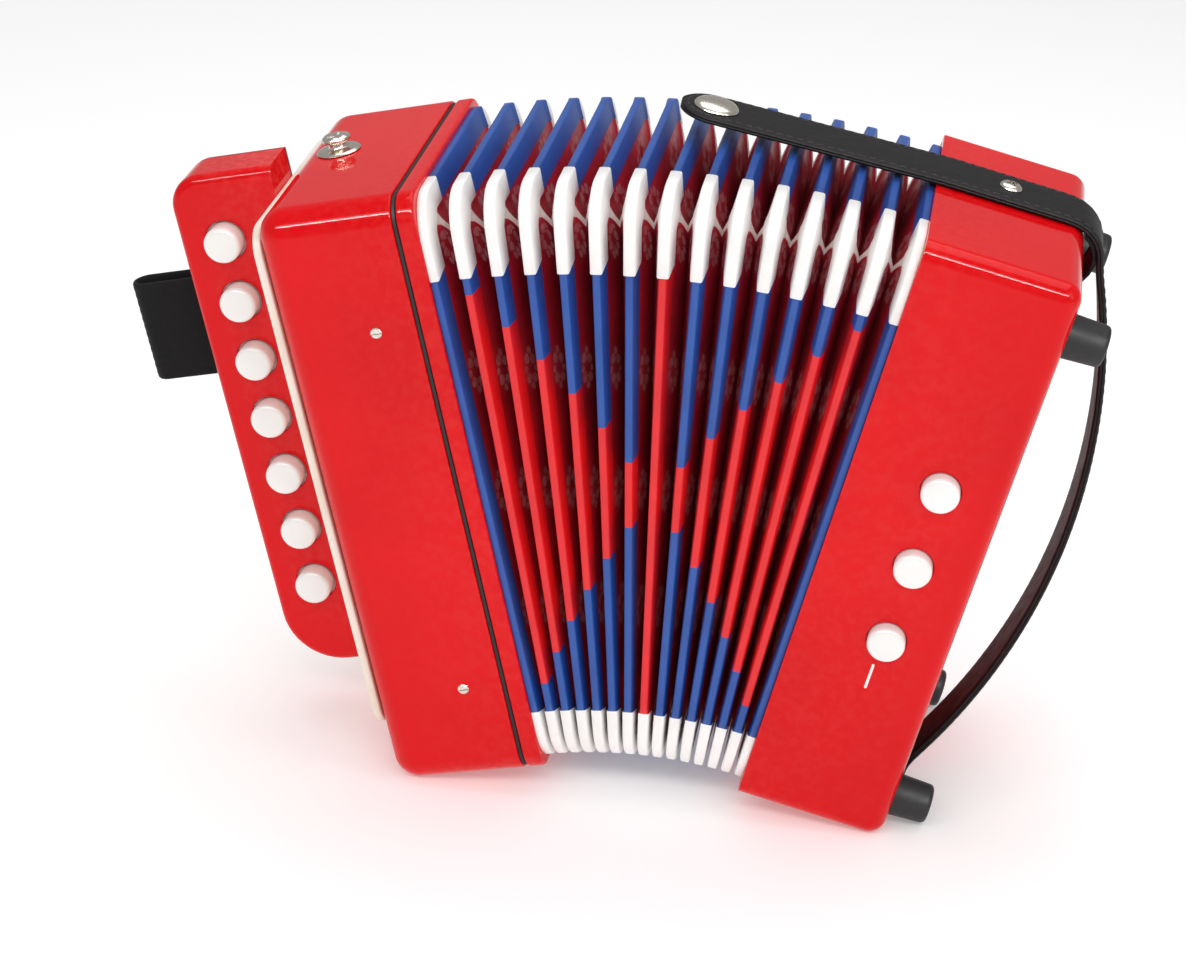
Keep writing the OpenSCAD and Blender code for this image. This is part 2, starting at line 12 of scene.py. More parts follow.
import bmesh
import bpy
from mathutils import Matrix, Vector
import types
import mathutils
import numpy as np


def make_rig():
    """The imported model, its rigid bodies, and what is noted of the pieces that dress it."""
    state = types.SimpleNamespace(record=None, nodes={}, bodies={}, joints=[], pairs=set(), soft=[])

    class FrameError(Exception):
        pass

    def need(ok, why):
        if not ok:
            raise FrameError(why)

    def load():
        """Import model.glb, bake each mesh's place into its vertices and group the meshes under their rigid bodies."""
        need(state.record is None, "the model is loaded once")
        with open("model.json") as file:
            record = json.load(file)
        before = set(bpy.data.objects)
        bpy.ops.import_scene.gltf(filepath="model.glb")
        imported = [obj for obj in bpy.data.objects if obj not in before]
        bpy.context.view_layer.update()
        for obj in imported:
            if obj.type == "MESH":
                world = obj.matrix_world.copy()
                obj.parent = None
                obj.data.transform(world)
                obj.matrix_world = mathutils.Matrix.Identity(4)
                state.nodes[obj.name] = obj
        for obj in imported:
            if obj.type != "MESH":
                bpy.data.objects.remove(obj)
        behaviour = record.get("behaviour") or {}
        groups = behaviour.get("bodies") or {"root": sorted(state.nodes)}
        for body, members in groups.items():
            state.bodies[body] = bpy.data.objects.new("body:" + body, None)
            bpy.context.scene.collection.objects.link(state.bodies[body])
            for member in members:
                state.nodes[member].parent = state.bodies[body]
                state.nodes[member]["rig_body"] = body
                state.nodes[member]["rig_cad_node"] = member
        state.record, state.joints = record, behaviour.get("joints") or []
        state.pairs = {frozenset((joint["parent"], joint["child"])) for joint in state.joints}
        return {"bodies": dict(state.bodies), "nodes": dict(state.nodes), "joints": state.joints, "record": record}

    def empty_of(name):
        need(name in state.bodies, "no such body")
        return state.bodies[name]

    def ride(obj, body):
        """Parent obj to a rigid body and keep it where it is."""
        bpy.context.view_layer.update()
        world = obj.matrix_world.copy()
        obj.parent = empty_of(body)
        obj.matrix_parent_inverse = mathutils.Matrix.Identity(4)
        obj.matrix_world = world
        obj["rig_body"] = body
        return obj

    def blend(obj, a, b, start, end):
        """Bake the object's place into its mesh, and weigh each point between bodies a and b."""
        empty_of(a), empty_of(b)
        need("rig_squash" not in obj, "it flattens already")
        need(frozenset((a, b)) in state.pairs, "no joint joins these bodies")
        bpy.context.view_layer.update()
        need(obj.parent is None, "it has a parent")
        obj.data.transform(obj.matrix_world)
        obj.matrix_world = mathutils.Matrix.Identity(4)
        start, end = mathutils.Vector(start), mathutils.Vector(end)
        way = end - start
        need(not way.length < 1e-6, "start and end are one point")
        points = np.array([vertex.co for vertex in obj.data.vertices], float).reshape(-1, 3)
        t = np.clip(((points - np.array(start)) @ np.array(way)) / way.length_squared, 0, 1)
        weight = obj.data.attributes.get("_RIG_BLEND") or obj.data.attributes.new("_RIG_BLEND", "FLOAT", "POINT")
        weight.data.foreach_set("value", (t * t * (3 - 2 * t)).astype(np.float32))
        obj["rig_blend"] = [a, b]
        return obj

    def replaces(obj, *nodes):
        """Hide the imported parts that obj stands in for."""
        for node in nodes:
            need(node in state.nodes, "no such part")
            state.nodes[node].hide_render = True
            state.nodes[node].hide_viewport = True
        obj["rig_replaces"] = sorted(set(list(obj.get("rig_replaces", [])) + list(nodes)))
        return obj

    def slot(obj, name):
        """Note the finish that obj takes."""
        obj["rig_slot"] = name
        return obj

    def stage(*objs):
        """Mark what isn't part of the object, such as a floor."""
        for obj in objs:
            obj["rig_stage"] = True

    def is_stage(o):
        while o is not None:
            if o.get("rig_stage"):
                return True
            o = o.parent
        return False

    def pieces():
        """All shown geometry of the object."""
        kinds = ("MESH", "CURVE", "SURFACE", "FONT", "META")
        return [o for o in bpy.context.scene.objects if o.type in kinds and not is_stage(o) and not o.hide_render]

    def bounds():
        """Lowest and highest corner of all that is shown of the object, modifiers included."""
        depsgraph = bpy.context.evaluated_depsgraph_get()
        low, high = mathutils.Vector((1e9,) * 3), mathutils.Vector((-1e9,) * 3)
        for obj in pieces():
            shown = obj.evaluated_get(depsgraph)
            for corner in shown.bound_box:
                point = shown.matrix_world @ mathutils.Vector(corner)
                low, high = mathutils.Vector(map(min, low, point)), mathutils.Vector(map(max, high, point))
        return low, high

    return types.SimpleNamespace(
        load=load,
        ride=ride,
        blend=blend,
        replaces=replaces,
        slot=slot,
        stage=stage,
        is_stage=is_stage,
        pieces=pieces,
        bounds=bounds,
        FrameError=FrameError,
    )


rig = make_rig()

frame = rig.load()
cad_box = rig.bounds()

MM = 0.001
JOINTS = {joint["name"]: joint for joint in frame["joints"]}


# ---------- axes, all from the frame ----------

GAPS = sum(name.startswith("bellows_gap_") for name in JOINTS)
GAP_ANGLE = -math.radians(JOINTS["bellows_gap_01"]["range_deg"][0])
HALF_FAN = GAPS * GAP_ANGLE / 2


def find_fan():
    """The fan's centre in metres, and the distance of the gaps' hinge lines from it in millimetres."""
    first = Vector(JOINTS["bellows_gap_01"]["pos_m"])
    last = Vector(JOINTS[f"bellows_gap_{GAPS:02d}"]["pos_m"])
    half_turn = (GAPS - 1) * GAP_ANGLE / 2
    pole_r = (last - first).length / 2 / math.sin(half_turn)
    centre = (first + last) / 2 - Vector((0, 0, pole_r * math.cos(half_turn)))
    return centre, pole_r / MM


FAN_CENTRE, POLE_R = find_fan()


def fan_point(angle, x, y, r):
    """A point of the fan, in the frame's metres."""
    c, s = math.cos(angle), math.sin(angle)
    return FAN_CENTRE + Vector((x * c + r * s, y, r * c - x * s)) * MM


def extent(points):
    """Lowest and highest corner of some points."""
    return tuple(Vector(pick(p[i] for p in points) for i in range(3)) for pick in (min, max))


def fan_span(node, angle):
    """Lowest and highest (x, y, r) of a CAD node in the fan's axes at one angle."""
    c, s = math.cos(angle), math.sin(angle)
    points = []
    for vertex in frame["nodes"][node].data.vertices:
        p = (vertex.co - FAN_CENTRE) / MM
        points.append((p.x * c - p.z * s, p.y, p.x * s + p.z * c))
    return extent(points)


RIDGE_HALF = fan_span("bass_case", HALF_FAN)[0].x
CASE_R = fan_span("bass_case", HALF_FAN)[0].z


class Box:
    """The axes of one of the two boxes: sign is -1 for the treble side and 1 for the bass side."""

    def __init__(self, sign):
        self.sign = sign
        self.angle = sign * HALF_FAN

    def point(self, u, y, z):
        """A point of the box, in the frame's metres."""
        return fan_point(self.angle, self.sign * (u + RIDGE_HALF), y, CASE_R + z)

    def local(self, point):
        """A point of the frame, in the box's millimetres."""
        c, s = math.cos(self.angle), math.sin(self.angle)
        p = (Vector(point) - FAN_CENTRE) / MM
        return Vector((self.sign * (p.x * c - p.z * s) - RIDGE_HALF, p.y, p.x * s + p.z * c - CASE_R))

    def span(self, node, keep=lambda point: True):
        """Lowest and highest (u, y, z) of the vertices of a CAD node that are to be kept."""
        points = [self.local(vertex.co) for vertex in frame["nodes"][node].data.vertices]
        return extent([point for point in points if keep(point)])

    def rings(self, profile, half_y, low_z, high_z, radius):
        """A rounded rectangle for each (u, inset) of a profile, ready to be lofted."""
        outlines = [(u, round_rect(half_y, low_z, high_z, radius, inset)) for u, inset in profile]
        return [[self.point(u, y, z) for y, z in outline] for u, outline in outlines]


TREBLE, BASS = Box(-1), Box(1)


# ---------- mesh helpers ----------

class Skin:
    """Collects skinned rings into one mesh; a material is the number of a slot."""

    def __init__(self):
        self.points = []
        self.faces = []
        self.slots = []

    def face(self, corners, slot=0):
        self.faces.append(tuple(corners))
        self.slots.append(slot)

    def loft(self, rings, slot=0, closed=False):
        """Joins rings of equally many points; closed joins the last to the first, else caps both ends."""
        first = len(self.points)
        count = len(rings[0])
        self.points += [point for ring in rings for point in ring]
        for i in range(len(rings) if closed else len(rings) - 1):
            a = first + i * count
            b = first + (i + 1) % len(rings) * count
            for k in range(count):
                n = (k + 1) % count
                self.face((a + k, a + n, b + n, b + k), slot)
        if not closed:
            self.face(range(first, first + count), slot)
            self.face(range(len(self.points) - count, len(self.points)), slot)

    def make(self, name, materials, sharp_deg=40):
        """The finished object, its faces turned outward and smooth except over sharp_deg."""
        mesh = bpy.data.meshes.new(name)
        mesh.from_pydata(self.points, [], self.faces)
        for material in materials:
            mesh.materials.append(material)
        mesh.polygons.foreach_set("material_index", self.slots)
        edit = bmesh.new()
        edit.from_mesh(mesh)
        bmesh.ops.recalc_face_normals(edit, faces=edit.faces)
        edit.to_mesh(mesh)
        edit.free()
        mesh.polygons.foreach_set("use_smooth", [True] * len(mesh.polygons))
        mesh.set_sharp_from_angle(angle=math.radians(sharp_deg))
        piece = bpy.data.objects.new(name, mesh)
        bpy.context.scene.collection.objects.link(piece)
        return piece


def loft(name, rings, material, closed=False, sharp_deg=40):
    skin = Skin()
    skin.loft(rings, closed=closed)
    return skin.make(name, [material], sharp_deg)


def arc(cx, cy, r, start_deg, end_deg, steps):
    """Points on an arc, both ends included."""
    angles = [math.radians(start_deg + (end_deg - start_deg) * i / steps) for i in range(steps + 1)]
    return [(cx + r * math.cos(a), cy + r * math.sin(a)) for a in angles]


def quarter(radius, steps):
    """Sine and cosine of a quarter turn, times a radius, both ends included."""
    return [(y, x) for x, y in arc(0, 0, radius, 0, 90, steps)]


def round_rect(half_y, z0, z1, radius, inset, steps=8):
    """Outline in y and z of a rounded rectangle moved inward by inset; the count of points stays the same."""
    r = max(radius - inset, 0.3)
    y, low, high = half_y - inset - r, z0 + inset + r, z1 - inset - r
    outline = []
    for cy, cz, start in ((-y, low, 180), (y, low, 270), (y, high, 0), (-y, high, 90)):
        outline += arc(cy, cz, r, start, start + 90, steps)
    return outline


DENT_HEIGHT = 2.0   # dents fade out over this height below the top of a piece
DENT_RADIUS = 5.0   # and over this radius from its middle


def lathe(name, place, profile, material, steps=48, sharp_deg=35, petals=0, dent=0.0):
    """Turns (radius, height) pairs about an axis; place(a, b, height) gives a point in metres.

    petals presses that many dents into the upper end of the piece.
    """
    top = profile[-1][1]
    rings = []
    for radius, height in profile:
        ring = []
        for k in range(steps):
            turn = 2 * math.pi * k / steps
            near_top = max(0, 1 - abs(top - height) / DENT_HEIGHT)
            outward = math.sin(math.pi * min(radius / DENT_RADIUS, 1))
            low = dent * near_top * outward * (1 + math.cos(petals * turn)) / 2 if petals else 0
            r = max(radius, 0.02)
            ring.append(place(r * math.cos(turn), r * math.sin(turn), height - low))
        rings.append(ring)
    return loft(name, rings, material, sharp_deg=sharp_deg)


def block(name, place, size, material):
    """Plain block about the origin of place, used to cut slots."""
    x, y, z = (length / 2 for length in size)
    rings = [[place(a, b, c) for a, b in ((-x, -y), (x, -y), (x, y), (-x, y))] for c in (-z, z)]
    return loft(name, rings, material)


def apply_modifiers(piece):
    """Replaces a piece's mesh by what its modifiers make of it."""
    evaluated = piece.evaluated_get(bpy.context.evaluated_depsgraph_get())
    mesh = bpy.data.meshes.new_from_object(evaluated)
    piece.modifiers.clear()
    piece.data = mesh


def cut(piece, cutters):
    """Takes the cutters out of a piece and deletes them."""
    for cutter in cutters:
        modifier = piece.modifiers.new("cut", "BOOLEAN")
        modifier.operation = "DIFFERENCE"
        modifier.solver = "EXACT"
        modifier.object = cutter
        apply_modifiers(piece)
        bpy.data.objects.remove(cutter)
    piece.data.set_sharp_from_angle(angle=math.radians(35))


def even_normals(piece):
    """Keeps large flat faces flat in the shading beside rounded edges."""
    modifier = piece.modifiers.new("even_normals", "WEIGHTED_NORMAL")
    modifier.keep_sharp = True
    modifier.weight = 100
    apply_modifiers(piece)


def finish_piece(piece, body, slot, nodes=()):
    """Puts a piece on its body, names its material slot and hides the CAD nodes it stands for."""
    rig.slot(piece, slot)
    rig.ride(piece, body)
    if nodes:
        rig.replaces(piece, *nodes)


# ---------- materials ----------

def srgb(red, green, blue):
    """A colour given as 0 to 255 on a screen, as the linear colour that shaders use."""
    def linear(value):
        share = value / 255
        return share / 12.92 if share <= 0.04045 else ((share + 0.055) / 1.055) ** 2.4
    return (linear(red), linear(green), linear(blue), 1)


class Surface:
    """A procedural material: a Principled shader and short names for the nodes that feed it."""

    def __init__(self, name, roughness, metallic=0.0):
        self.material = bpy.data.materials.new(name)
        self.material.use_nodes = True
        self.tree = self.material.node_tree
        self.shader = self.tree.nodes["Principled BSDF"]
        self.shader.inputs["Roughness"].default_value = roughness
        self.shader.inputs["Metallic"].default_value = metallic
        self.place = self.tree.nodes.new("ShaderNodeTexCoord").outputs["Object"]

    def node(self, kind, inputs=(), **settings):
        """A new node; inputs pairs an input's name or number with a value or another node's output."""
        made = self.tree.nodes.new("ShaderNode" + kind)
        for key, value in settings.items():
            setattr(made, key, value)
        for key, value in dict(inputs).items():
            if isinstance(value, bpy.types.NodeSocket):
                self.tree.links.new(value, made.inputs[key])
            else:
                made.inputs[key].default_value = value
        return made

    def sum(self, operation, *values):
        """The result of a Math operation on numbers or outputs."""
        return self.node("Math", dict(enumerate(values)), operation=operation).outputs[0]

    def noise(self, per_mm, detail=2.0, stretch=(1, 1, 1)):
        """Noise with about per_mm grains to the millimetre, stretched along the axes."""
        scaled = self.node("Mapping", {"Vector": self.place, "Scale": stretch}).outputs[0]
        inputs = {"Vector": scaled, "Scale": per_mm / MM, "Detail": detail}
        return self.node("TexNoise", inputs).outputs[0]

    def cells(self, per_mm, feature="F1"):
        inputs = {"Vector": self.place, "Scale": per_mm / MM}
        return self.node("TexVoronoi", inputs, feature=feature).outputs["Distance"]

    def remap(self, value, low, high, new_low, new_high):
        inputs = {"Value": value, 1: low, 2: high, 3: new_low, 4: new_high}
        return self.node("MapRange", inputs).outputs[0]

    def blend(self, share, first, second):
        """A colour that goes from first to second as share goes from 0 to 1."""
        made = self.node("Mix", data_type="RGBA")
        for key, value in ((0, share), (6, first), (7, second)):
            if isinstance(value, bpy.types.NodeSocket):
                self.tree.links.new(value, made.inputs[key])
            else:
                made.inputs[key].default_value = value
        return made.outputs[2]

    def shades(self, pattern, first, second, low=0.35, high=0.65):
        """A colour that goes from first to second as a pattern goes from low to high."""
        return self.blend(self.remap(pattern, low, high, 0, 1), first, second)

    def uneven_gloss(self, pattern, low, high):
        """Roughness that follows a pattern from low to high."""
        self.set("Roughness", self.remap(pattern, 0.3, 0.7, low, high))

    def attribute(self, name):
        return self.node("Attribute", attribute_name=name).outputs["Fac"]

    def edges(self):
        """1 on sharp outer edges, 0 elsewhere, broken up by noise."""
        pointed = self.node("NewGeometry").outputs["Pointiness"]
        worn = self.remap(pointed, 0.52, 0.62, 0, 1)
        return self.sum("MULTIPLY", worn, self.remap(self.noise(0.4, 4), 0.42, 0.62, 0, 1))

    def set(self, name, value):
        if isinstance(value, bpy.types.NodeSocket):
            self.tree.links.new(value, self.shader.inputs[name])
        else:
            self.shader.inputs[name].default_value = value

    def relief(self, height, depth_mm, strength=1.0):
        """Bump of a height field that goes from 0 to 1 over a real depth."""
        inputs = {"Height": height, "Strength": strength, "Distance": depth_mm * MM}
        self.set("Normal", self.node("Bump", inputs).outputs[0])


def lacquer(name, light, dark, worn):
    """Gloss paint: slow changes of shade, a faint orange peel, uneven gloss and paler worn edges."""
    made = Surface(name, 0.2)
    shade = made.shades(made.noise(0.012, 3), light, dark)
    made.set("Base Color", made.blend(made.sum("MULTIPLY", made.edges(), 0.45), shade, worn))
    made.uneven_gloss(made.noise(0.05, 5), 0.05, 0.1)
    made.set("Specular IOR Level", 0.2)
    made.relief(made.noise(0.1, 2), 0.01, 0.1)
    return made.material


def moulding(name, light, dark, rough_low, rough_high, grain_per_mm, relief_mm):
    """Moulded plastic or rubber: two close shades, uneven gloss and a fine grain."""
    made = Surface(name, rough_low)
    made.set("Base Color", made.shades(made.noise(0.05, 4), light, dark))
    made.uneven_gloss(made.noise(0.3, 4), rough_low, rough_high)
    made.relief(made.noise(grain_per_mm, 3), relief_mm, 0.6)
    return made.material


def metal(name, light, dark, rough_low, rough_high, stretch=(1, 1, 1)):
    """Plated or brushed metal with fine scratches along one axis."""
    made = Surface(name, rough_low, metallic=1.0)
    scratches = made.noise(1.6, 5, stretch)
    made.set("Base Color", made.shades(scratches, light, dark, high=0.7))
    made.uneven_gloss(scratches, rough_low, rough_high)
    made.relief(scratches, 0.005, 0.15)
    return made.material


def tape(name, light, dark):
    """Coated binding tape: fine linen weave under a satin film, slightly soiled in places."""
    made = Surface(name, 0.42)
    weave = made.sum("MULTIPLY", made.noise(2.2, 1, (1, 1, 6)), made.noise(2.2, 1, (6, 6, 1)))
    soil = made.remap(made.noise(0.06, 5), 0.4, 0.75, 0, 1)
    made.set("Base Color", made.blend(made.sum("MULTIPLY", soil, 0.7), light, dark))
    made.set("Roughness", made.remap(weave, 0.1, 0.4, 0.34, 0.5))
    made.relief(weave, 0.06, 0.5)
    return made.material


def leather(name, light, dark):
    """Finished leather: pebbled grain, creases and paler rubbed edges."""
    made = Surface(name, 0.4)
    grain = made.cells(1.3, "SMOOTH_F1")
    creases = made.noise(0.22, 5, (1, 3, 1))
    made.set("Base Color", made.blend(made.sum("MULTIPLY", made.edges(), 0.6), dark, light))
    made.uneven_gloss(creases, 0.46, 0.64)
    made.set("Specular IOR Level", 0.25)
    made.relief(made.sum("ADD", made.sum("MULTIPLY", grain, 0.6), creases), 0.14, 0.5)
    return made.material


def webbing(name, light, dark):
    """Elastic: cords side by side with a fine cross weave over them."""
    made = Surface(name, 0.85)
    weave = made.noise(1.8, 2, (1, 1, 0.35))
    made.set("Base Color", made.shades(weave, dark, light, 0.3, 0.7))
    made.set("Sheen Weight", 0.06)
    made.set("Specular IOR Level", 0.2)
    made.relief(weave, 0.12, 0.8)
    return made.material


def wood(name, light, dark):
    """Planed softwood with grain along the lean of the box."""
    made = Surface(name, 0.6)
    grain = made.noise(0.5, 6, (1, 1, 0.06))
    made.set("Base Color", made.shades(grain, light, dark))
    made.relief(grain, 0.08, 0.5)
    return made.material


FOLD_DEPTH = 20.0
TAPE_DEPTH = 7.0
FLOWER_PITCH = 44.0   # distance between two printed flowers
FLOWER_DEPTH = 12.8   # depth of their row below the ridges


def wall_cloth():
    """The walls of the folds: glossy printed cloth, creased, with painted shade that darkens it towards the valleys.

    A generic flower of eight dots is repeated along each wall.
    """
    made = Surface("wall_cloth", 0.24)
    step = made.sum("MODULO", made.attribute("along"), FLOWER_PITCH)
    far = made.sum("ABSOLUTE", made.sum("SUBTRACT", step, FLOWER_PITCH / 2))
    wide = made.sum("ABSOLUTE", made.sum("SUBTRACT", made.attribute("depth"), FLOWER_DEPTH))

    def petal(centre_along, centre_across, radius):
        """1 inside a round dot, and inside its mirror images about the flower's middle."""
        step_along = made.sum("SUBTRACT", far, centre_along)
        step_across = made.sum("SUBTRACT", wide, centre_across)
        squares = made.sum("ADD", made.sum("POWER", step_along, 2), made.sum("POWER", step_across, 2))
        return made.sum("LESS_THAN", squares, radius * radius)

    flower = made.sum("MAXIMUM", petal(3.4, 2.2, 1.9), petal(6.4, 0, 1.4))
    flower = made.sum("MAXIMUM", flower, petal(0, 3.6, 1.3))
    flower = made.sum("MULTIPLY", flower, made.attribute("side"))
    worn = made.remap(made.noise(0.5, 4), 0.3, 0.6, 0.25, 0.75)
    cloth = made.shades(made.noise(0.05, 4), srgb(212, 40, 60), srgb(180, 30, 48))
    # painted shade: the cloth is blended to a dark red with depth in the fold, where shade falls in the valleys
    painted_valley_shade = made.remap(made.attribute("depth"), TAPE_DEPTH, FOLD_DEPTH, 0, 0.8)
    cloth = made.blend(painted_valley_shade, cloth, srgb(100, 18, 28))
    made.set("Base Color", made.blend(made.sum("MULTIPLY", flower, worn), cloth, srgb(206, 150, 152)))
    folded = made.remap(made.cells(0.09, "DISTANCE_TO_EDGE"), 0, 0.05, 0, 1)
    made.relief(made.sum("ADD", folded, made.noise(0.06, 2)), 0.15, 0.25)
    made.uneven_gloss(made.noise(0.1, 3), 0.3, 0.42)
    return made.material


RED = lacquer("red_lacquer", srgb(228, 8, 18), srgb(216, 4, 13), srgb(238, 84, 78))
RED_BACK = moulding("red_back", srgb(168, 22, 30), srgb(150, 16, 24), 0.4, 0.55, 0.8, 0.03)
IVORY = moulding("ivory_board", srgb(249, 241, 228), srgb(240, 228, 210), 0.35, 0.5, 0.5, 0.03)
WHITE = moulding("white_button", srgb(252, 251, 249), srgb(246, 244, 241), 0.16, 0.26, 0.3, 0.01)
GASKET = moulding("black_gasket", srgb(20, 20, 22), srgb(30, 30, 32), 0.5, 0.7, 1.2, 0.05)
RUBBER = moulding("foot_rubber", srgb(15, 14, 16), srgb(24, 23, 26), 0.42, 0.6, 1.2, 0.05)
NICKEL = metal("nickel", srgb(226, 220, 210), srgb(196, 188, 176), 0.14, 0.3)
STEEL = metal("lever_steel", srgb(190, 190, 192), srgb(158, 158, 160), 0.3, 0.45, (1, 1, 0.1))
WIRE = metal("spring_wire", srgb(150, 150, 152), srgb(120, 120, 122), 0.3, 0.45)
BRASS = metal("reed_brass", srgb(222, 188, 110), srgb(196, 156, 82), 0.25, 0.4, (1, 1, 0.1))
WOOD = wood("wood", srgb(214, 180, 130), srgb(176, 136, 88))
FELT = webbing("felt", srgb(196, 172, 132), srgb(168, 142, 104))
ELASTIC = webbing("elastic", srgb(15, 14, 15), srgb(7, 6, 7))
LEATHER = leather("strap_leather", srgb(48, 40, 44), srgb(19, 15, 17))
THREAD = webbing("strap_thread", srgb(78, 72, 75), srgb(48, 44, 46))
BLUE_TAPE = tape("blue_tape", srgb(34, 84, 168), srgb(26, 68, 146))
RED_TAPE = tape("red_tape", srgb(236, 24, 32), srgb(212, 14, 24))
WHITE_TAPE = tape("white_tape", srgb(254, 253, 251), srgb(244, 241, 238))
GUSSET = tape("gusset", srgb(242, 234, 228), srgb(220, 206, 200))
CARD = moulding("bellows_card", srgb(96, 20, 28), srgb(74, 12, 20), 0.7, 0.85, 0.8, 0.1)
WALL = wall_cloth()


# ---------- bellows ----------

FOLD_LOW, FOLD_HIGH = fan_span(f"bellows_fold_{GAPS // 2:02d}", 0)
BELLOWS_HALF_Y = FOLD_HIGH.y
BELLOWS_HALF_R = (FOLD_HIGH.z - FOLD_LOW.z) / 2
BELLOWS_MID_R = (FOLD_HIGH.z + FOLD_LOW.z) / 2
RIDGE_ROUND = 13.0
INNER_ROUND = 2.5
CORNER_DEPTH = 14.0
CREST_HALF = 1.3      # half the width of a ridge
WHITE_CREST_HALF = 1.9
TAPE_T = 0.25
CARD_T = 0.6
CREST_EDGE = 0.6      # depth of the round edges of a ridge
WALL_BEND = 1.2       # above 1 the walls open out towards the valley
WHITE_PROUD = 0.3
WHITE_SLANT = 2.5     # the cut ends of the white tape slant by this much down the flanks
WHITE_TOP = 23.0      # reach of the white corner tape from the front along the top and the bottom
WHITE_BACK = 9.5      # its reach along them from the back
WHITE_DOWN = 27.0     # its reach down the front and the back from the top
WHITE_UP = 22.0       # its reach up them from the bottom
WHITE_CUT = 0.15      # half the length over which its cut end meets the next colour
RED_STEP = 11.75      # each ridge away from the middle one is red over this much more at either end
ALONG_START = 220.0   # keeps the distance along a wall above 0, for the row of flowers
SHUT_CREST = 1.05     # half the width of a ridge when the bellows is shut
SHUT_VALLEY = math.tan(GAP_ANGLE / 2) * POLE_R
VALLEY_T = 0.8        # thickness of the walls where two of them meet in a valley
CREST_SHARE = 0.67    # white ridges take up no more than this share of their room
TOP_COLUMN = 14.0     # place of a column between the middle of the top and its white ends
CORNER_STEPS = 8
GUSSET_SHARE = 0.2    # share of a corner's turn at either end that still belongs to the walls
RED_SLOT, BLUE_SLOT, WHITE_SLOT, WALL_SLOT, GUSSET_SLOT, CARD_SLOT = range(6)


class Column:
    """One line across the folds, at one place on the outline of the bellows.

    a and b place its corner centre, from -1 to 1, and c and s are its outward direction.
    """

    def __init__(self, a, b, c, s, corner=0.0, slant=(0, 0)):
        self.a, self.b, self.c, self.s = a, b, c, s
        self.corner = corner
        self.slant = slant
        y, r = self.outline(0)
        self.on_side = abs(y) > BELLOWS_HALF_Y - RIDGE_ROUND - 0.01
        self.off_mid = r - BELLOWS_MID_R
        if self.on_side:
            self.white = r > FOLD_HIGH.z - WHITE_DOWN or r < FOLD_LOW.z + WHITE_UP
        else:
            self.white = abs(y) > BELLOWS_HALF_Y - WHITE_TOP
        if y > 0:
            self.white = self.white and y > BELLOWS_HALF_Y - WHITE_BACK
        self.along = (r if self.on_side else y) + ALONG_START
        self.depth = FOLD_DEPTH - (FOLD_DEPTH - CORNER_DEPTH) * math.sin(math.pi * corner)

    def outline(self, inset):
        """(y, r) of this column on the outline moved inward by inset."""
        rad = max(RIDGE_ROUND - inset, INNER_ROUND)
        slid = WHITE_SLANT * min(max(inset, 0) / TAPE_DEPTH, 1)
        y = self.a * (BELLOWS_HALF_Y - inset - rad) + self.c * rad + self.slant[0] * slid
        r = self.b * (BELLOWS_HALF_R - inset - rad) + self.s * rad + self.slant[1] * slid
        return y, BELLOWS_MID_R + r

    def point(self, angle, x, depth):
        y, r = self.outline(depth - (WHITE_PROUD if self.white and depth <= TAPE_DEPTH else 0))
        return fan_point(angle, x, y, r)

    def half_gap(self, depth):
        """Distance from a ridge's middle to the middle of the gap beside it."""
        return self.outline(depth)[1] * math.tan(GAP_ANGLE / 2)

    def crest_half(self):
        return min(WHITE_CREST_HALF, CREST_SHARE * self.half_gap(0)) if self.white else CREST_HALF


def cut_ends(places):
    """(place, slant) on both sides of each cut end of the white tape."""
    return [(place + side * WHITE_CUT, math.copysign(1, place)) for place in places for side in (-1, 1)]


def side_stops():
    """(place, slant) up the front or the back, wherever the tape may change colour."""
    stops = [(n * RED_STEP, 0) for n in range(1 - GAPS // 2, GAPS // 2)]
    return sorted(stops + cut_ends((BELLOWS_HALF_R - WHITE_DOWN, WHITE_UP - BELLOWS_HALF_R)))


def top_stops():
    """The same across the top or the bottom, with three more columns between."""
    edge = BELLOWS_HALF_Y - WHITE_TOP
    return sorted([(-TOP_COLUMN, 0), (0, 0), (TOP_COLUMN, 0)] + cut_ends((-edge, edge)))


def bellows_columns():
    """All columns, anticlockwise from the lower front corner."""
    half_y = BELLOWS_HALF_Y - RIDGE_ROUND
    half_r = BELLOWS_HALF_R - RIDGE_ROUND
    up = [(-half_r, 0), *side_stops(), (half_r, 0)]
    across = [(-half_y, 0), *top_stops(), (half_y, 0)]
    straights = (
        [((place / half_y, -1, 0, -1), (slant, 0)) for place, slant in across],
        [((1, place / half_r, 1, 0), (0, slant)) for place, slant in up],
        [((place / half_y, 1, 0, 1), (slant, 0)) for place, slant in reversed(across)],
        [((-1, place / half_r, -1, 0), (0, slant)) for place, slant in reversed(up)],
    )
    corners = ((-1, -1, 180), (1, -1, 270), (1, 1, 0), (-1, 1, 90))
    columns = []
    for (a, b, start), straight in zip(corners, straights):
        for k in range(1, CORNER_STEPS):
            turn = math.radians(start + 90 * k / CORNER_STEPS)
            columns.append(Column(a, b, math.cos(turn), math.sin(turn), k / CORNER_STEPS))
        columns += [Column(*place, slant=slant) for place, slant in straight]
    return columns


COLUMNS = bellows_columns()
WALL_STEPS = (0.0, 0.3, 0.6, 0.94)


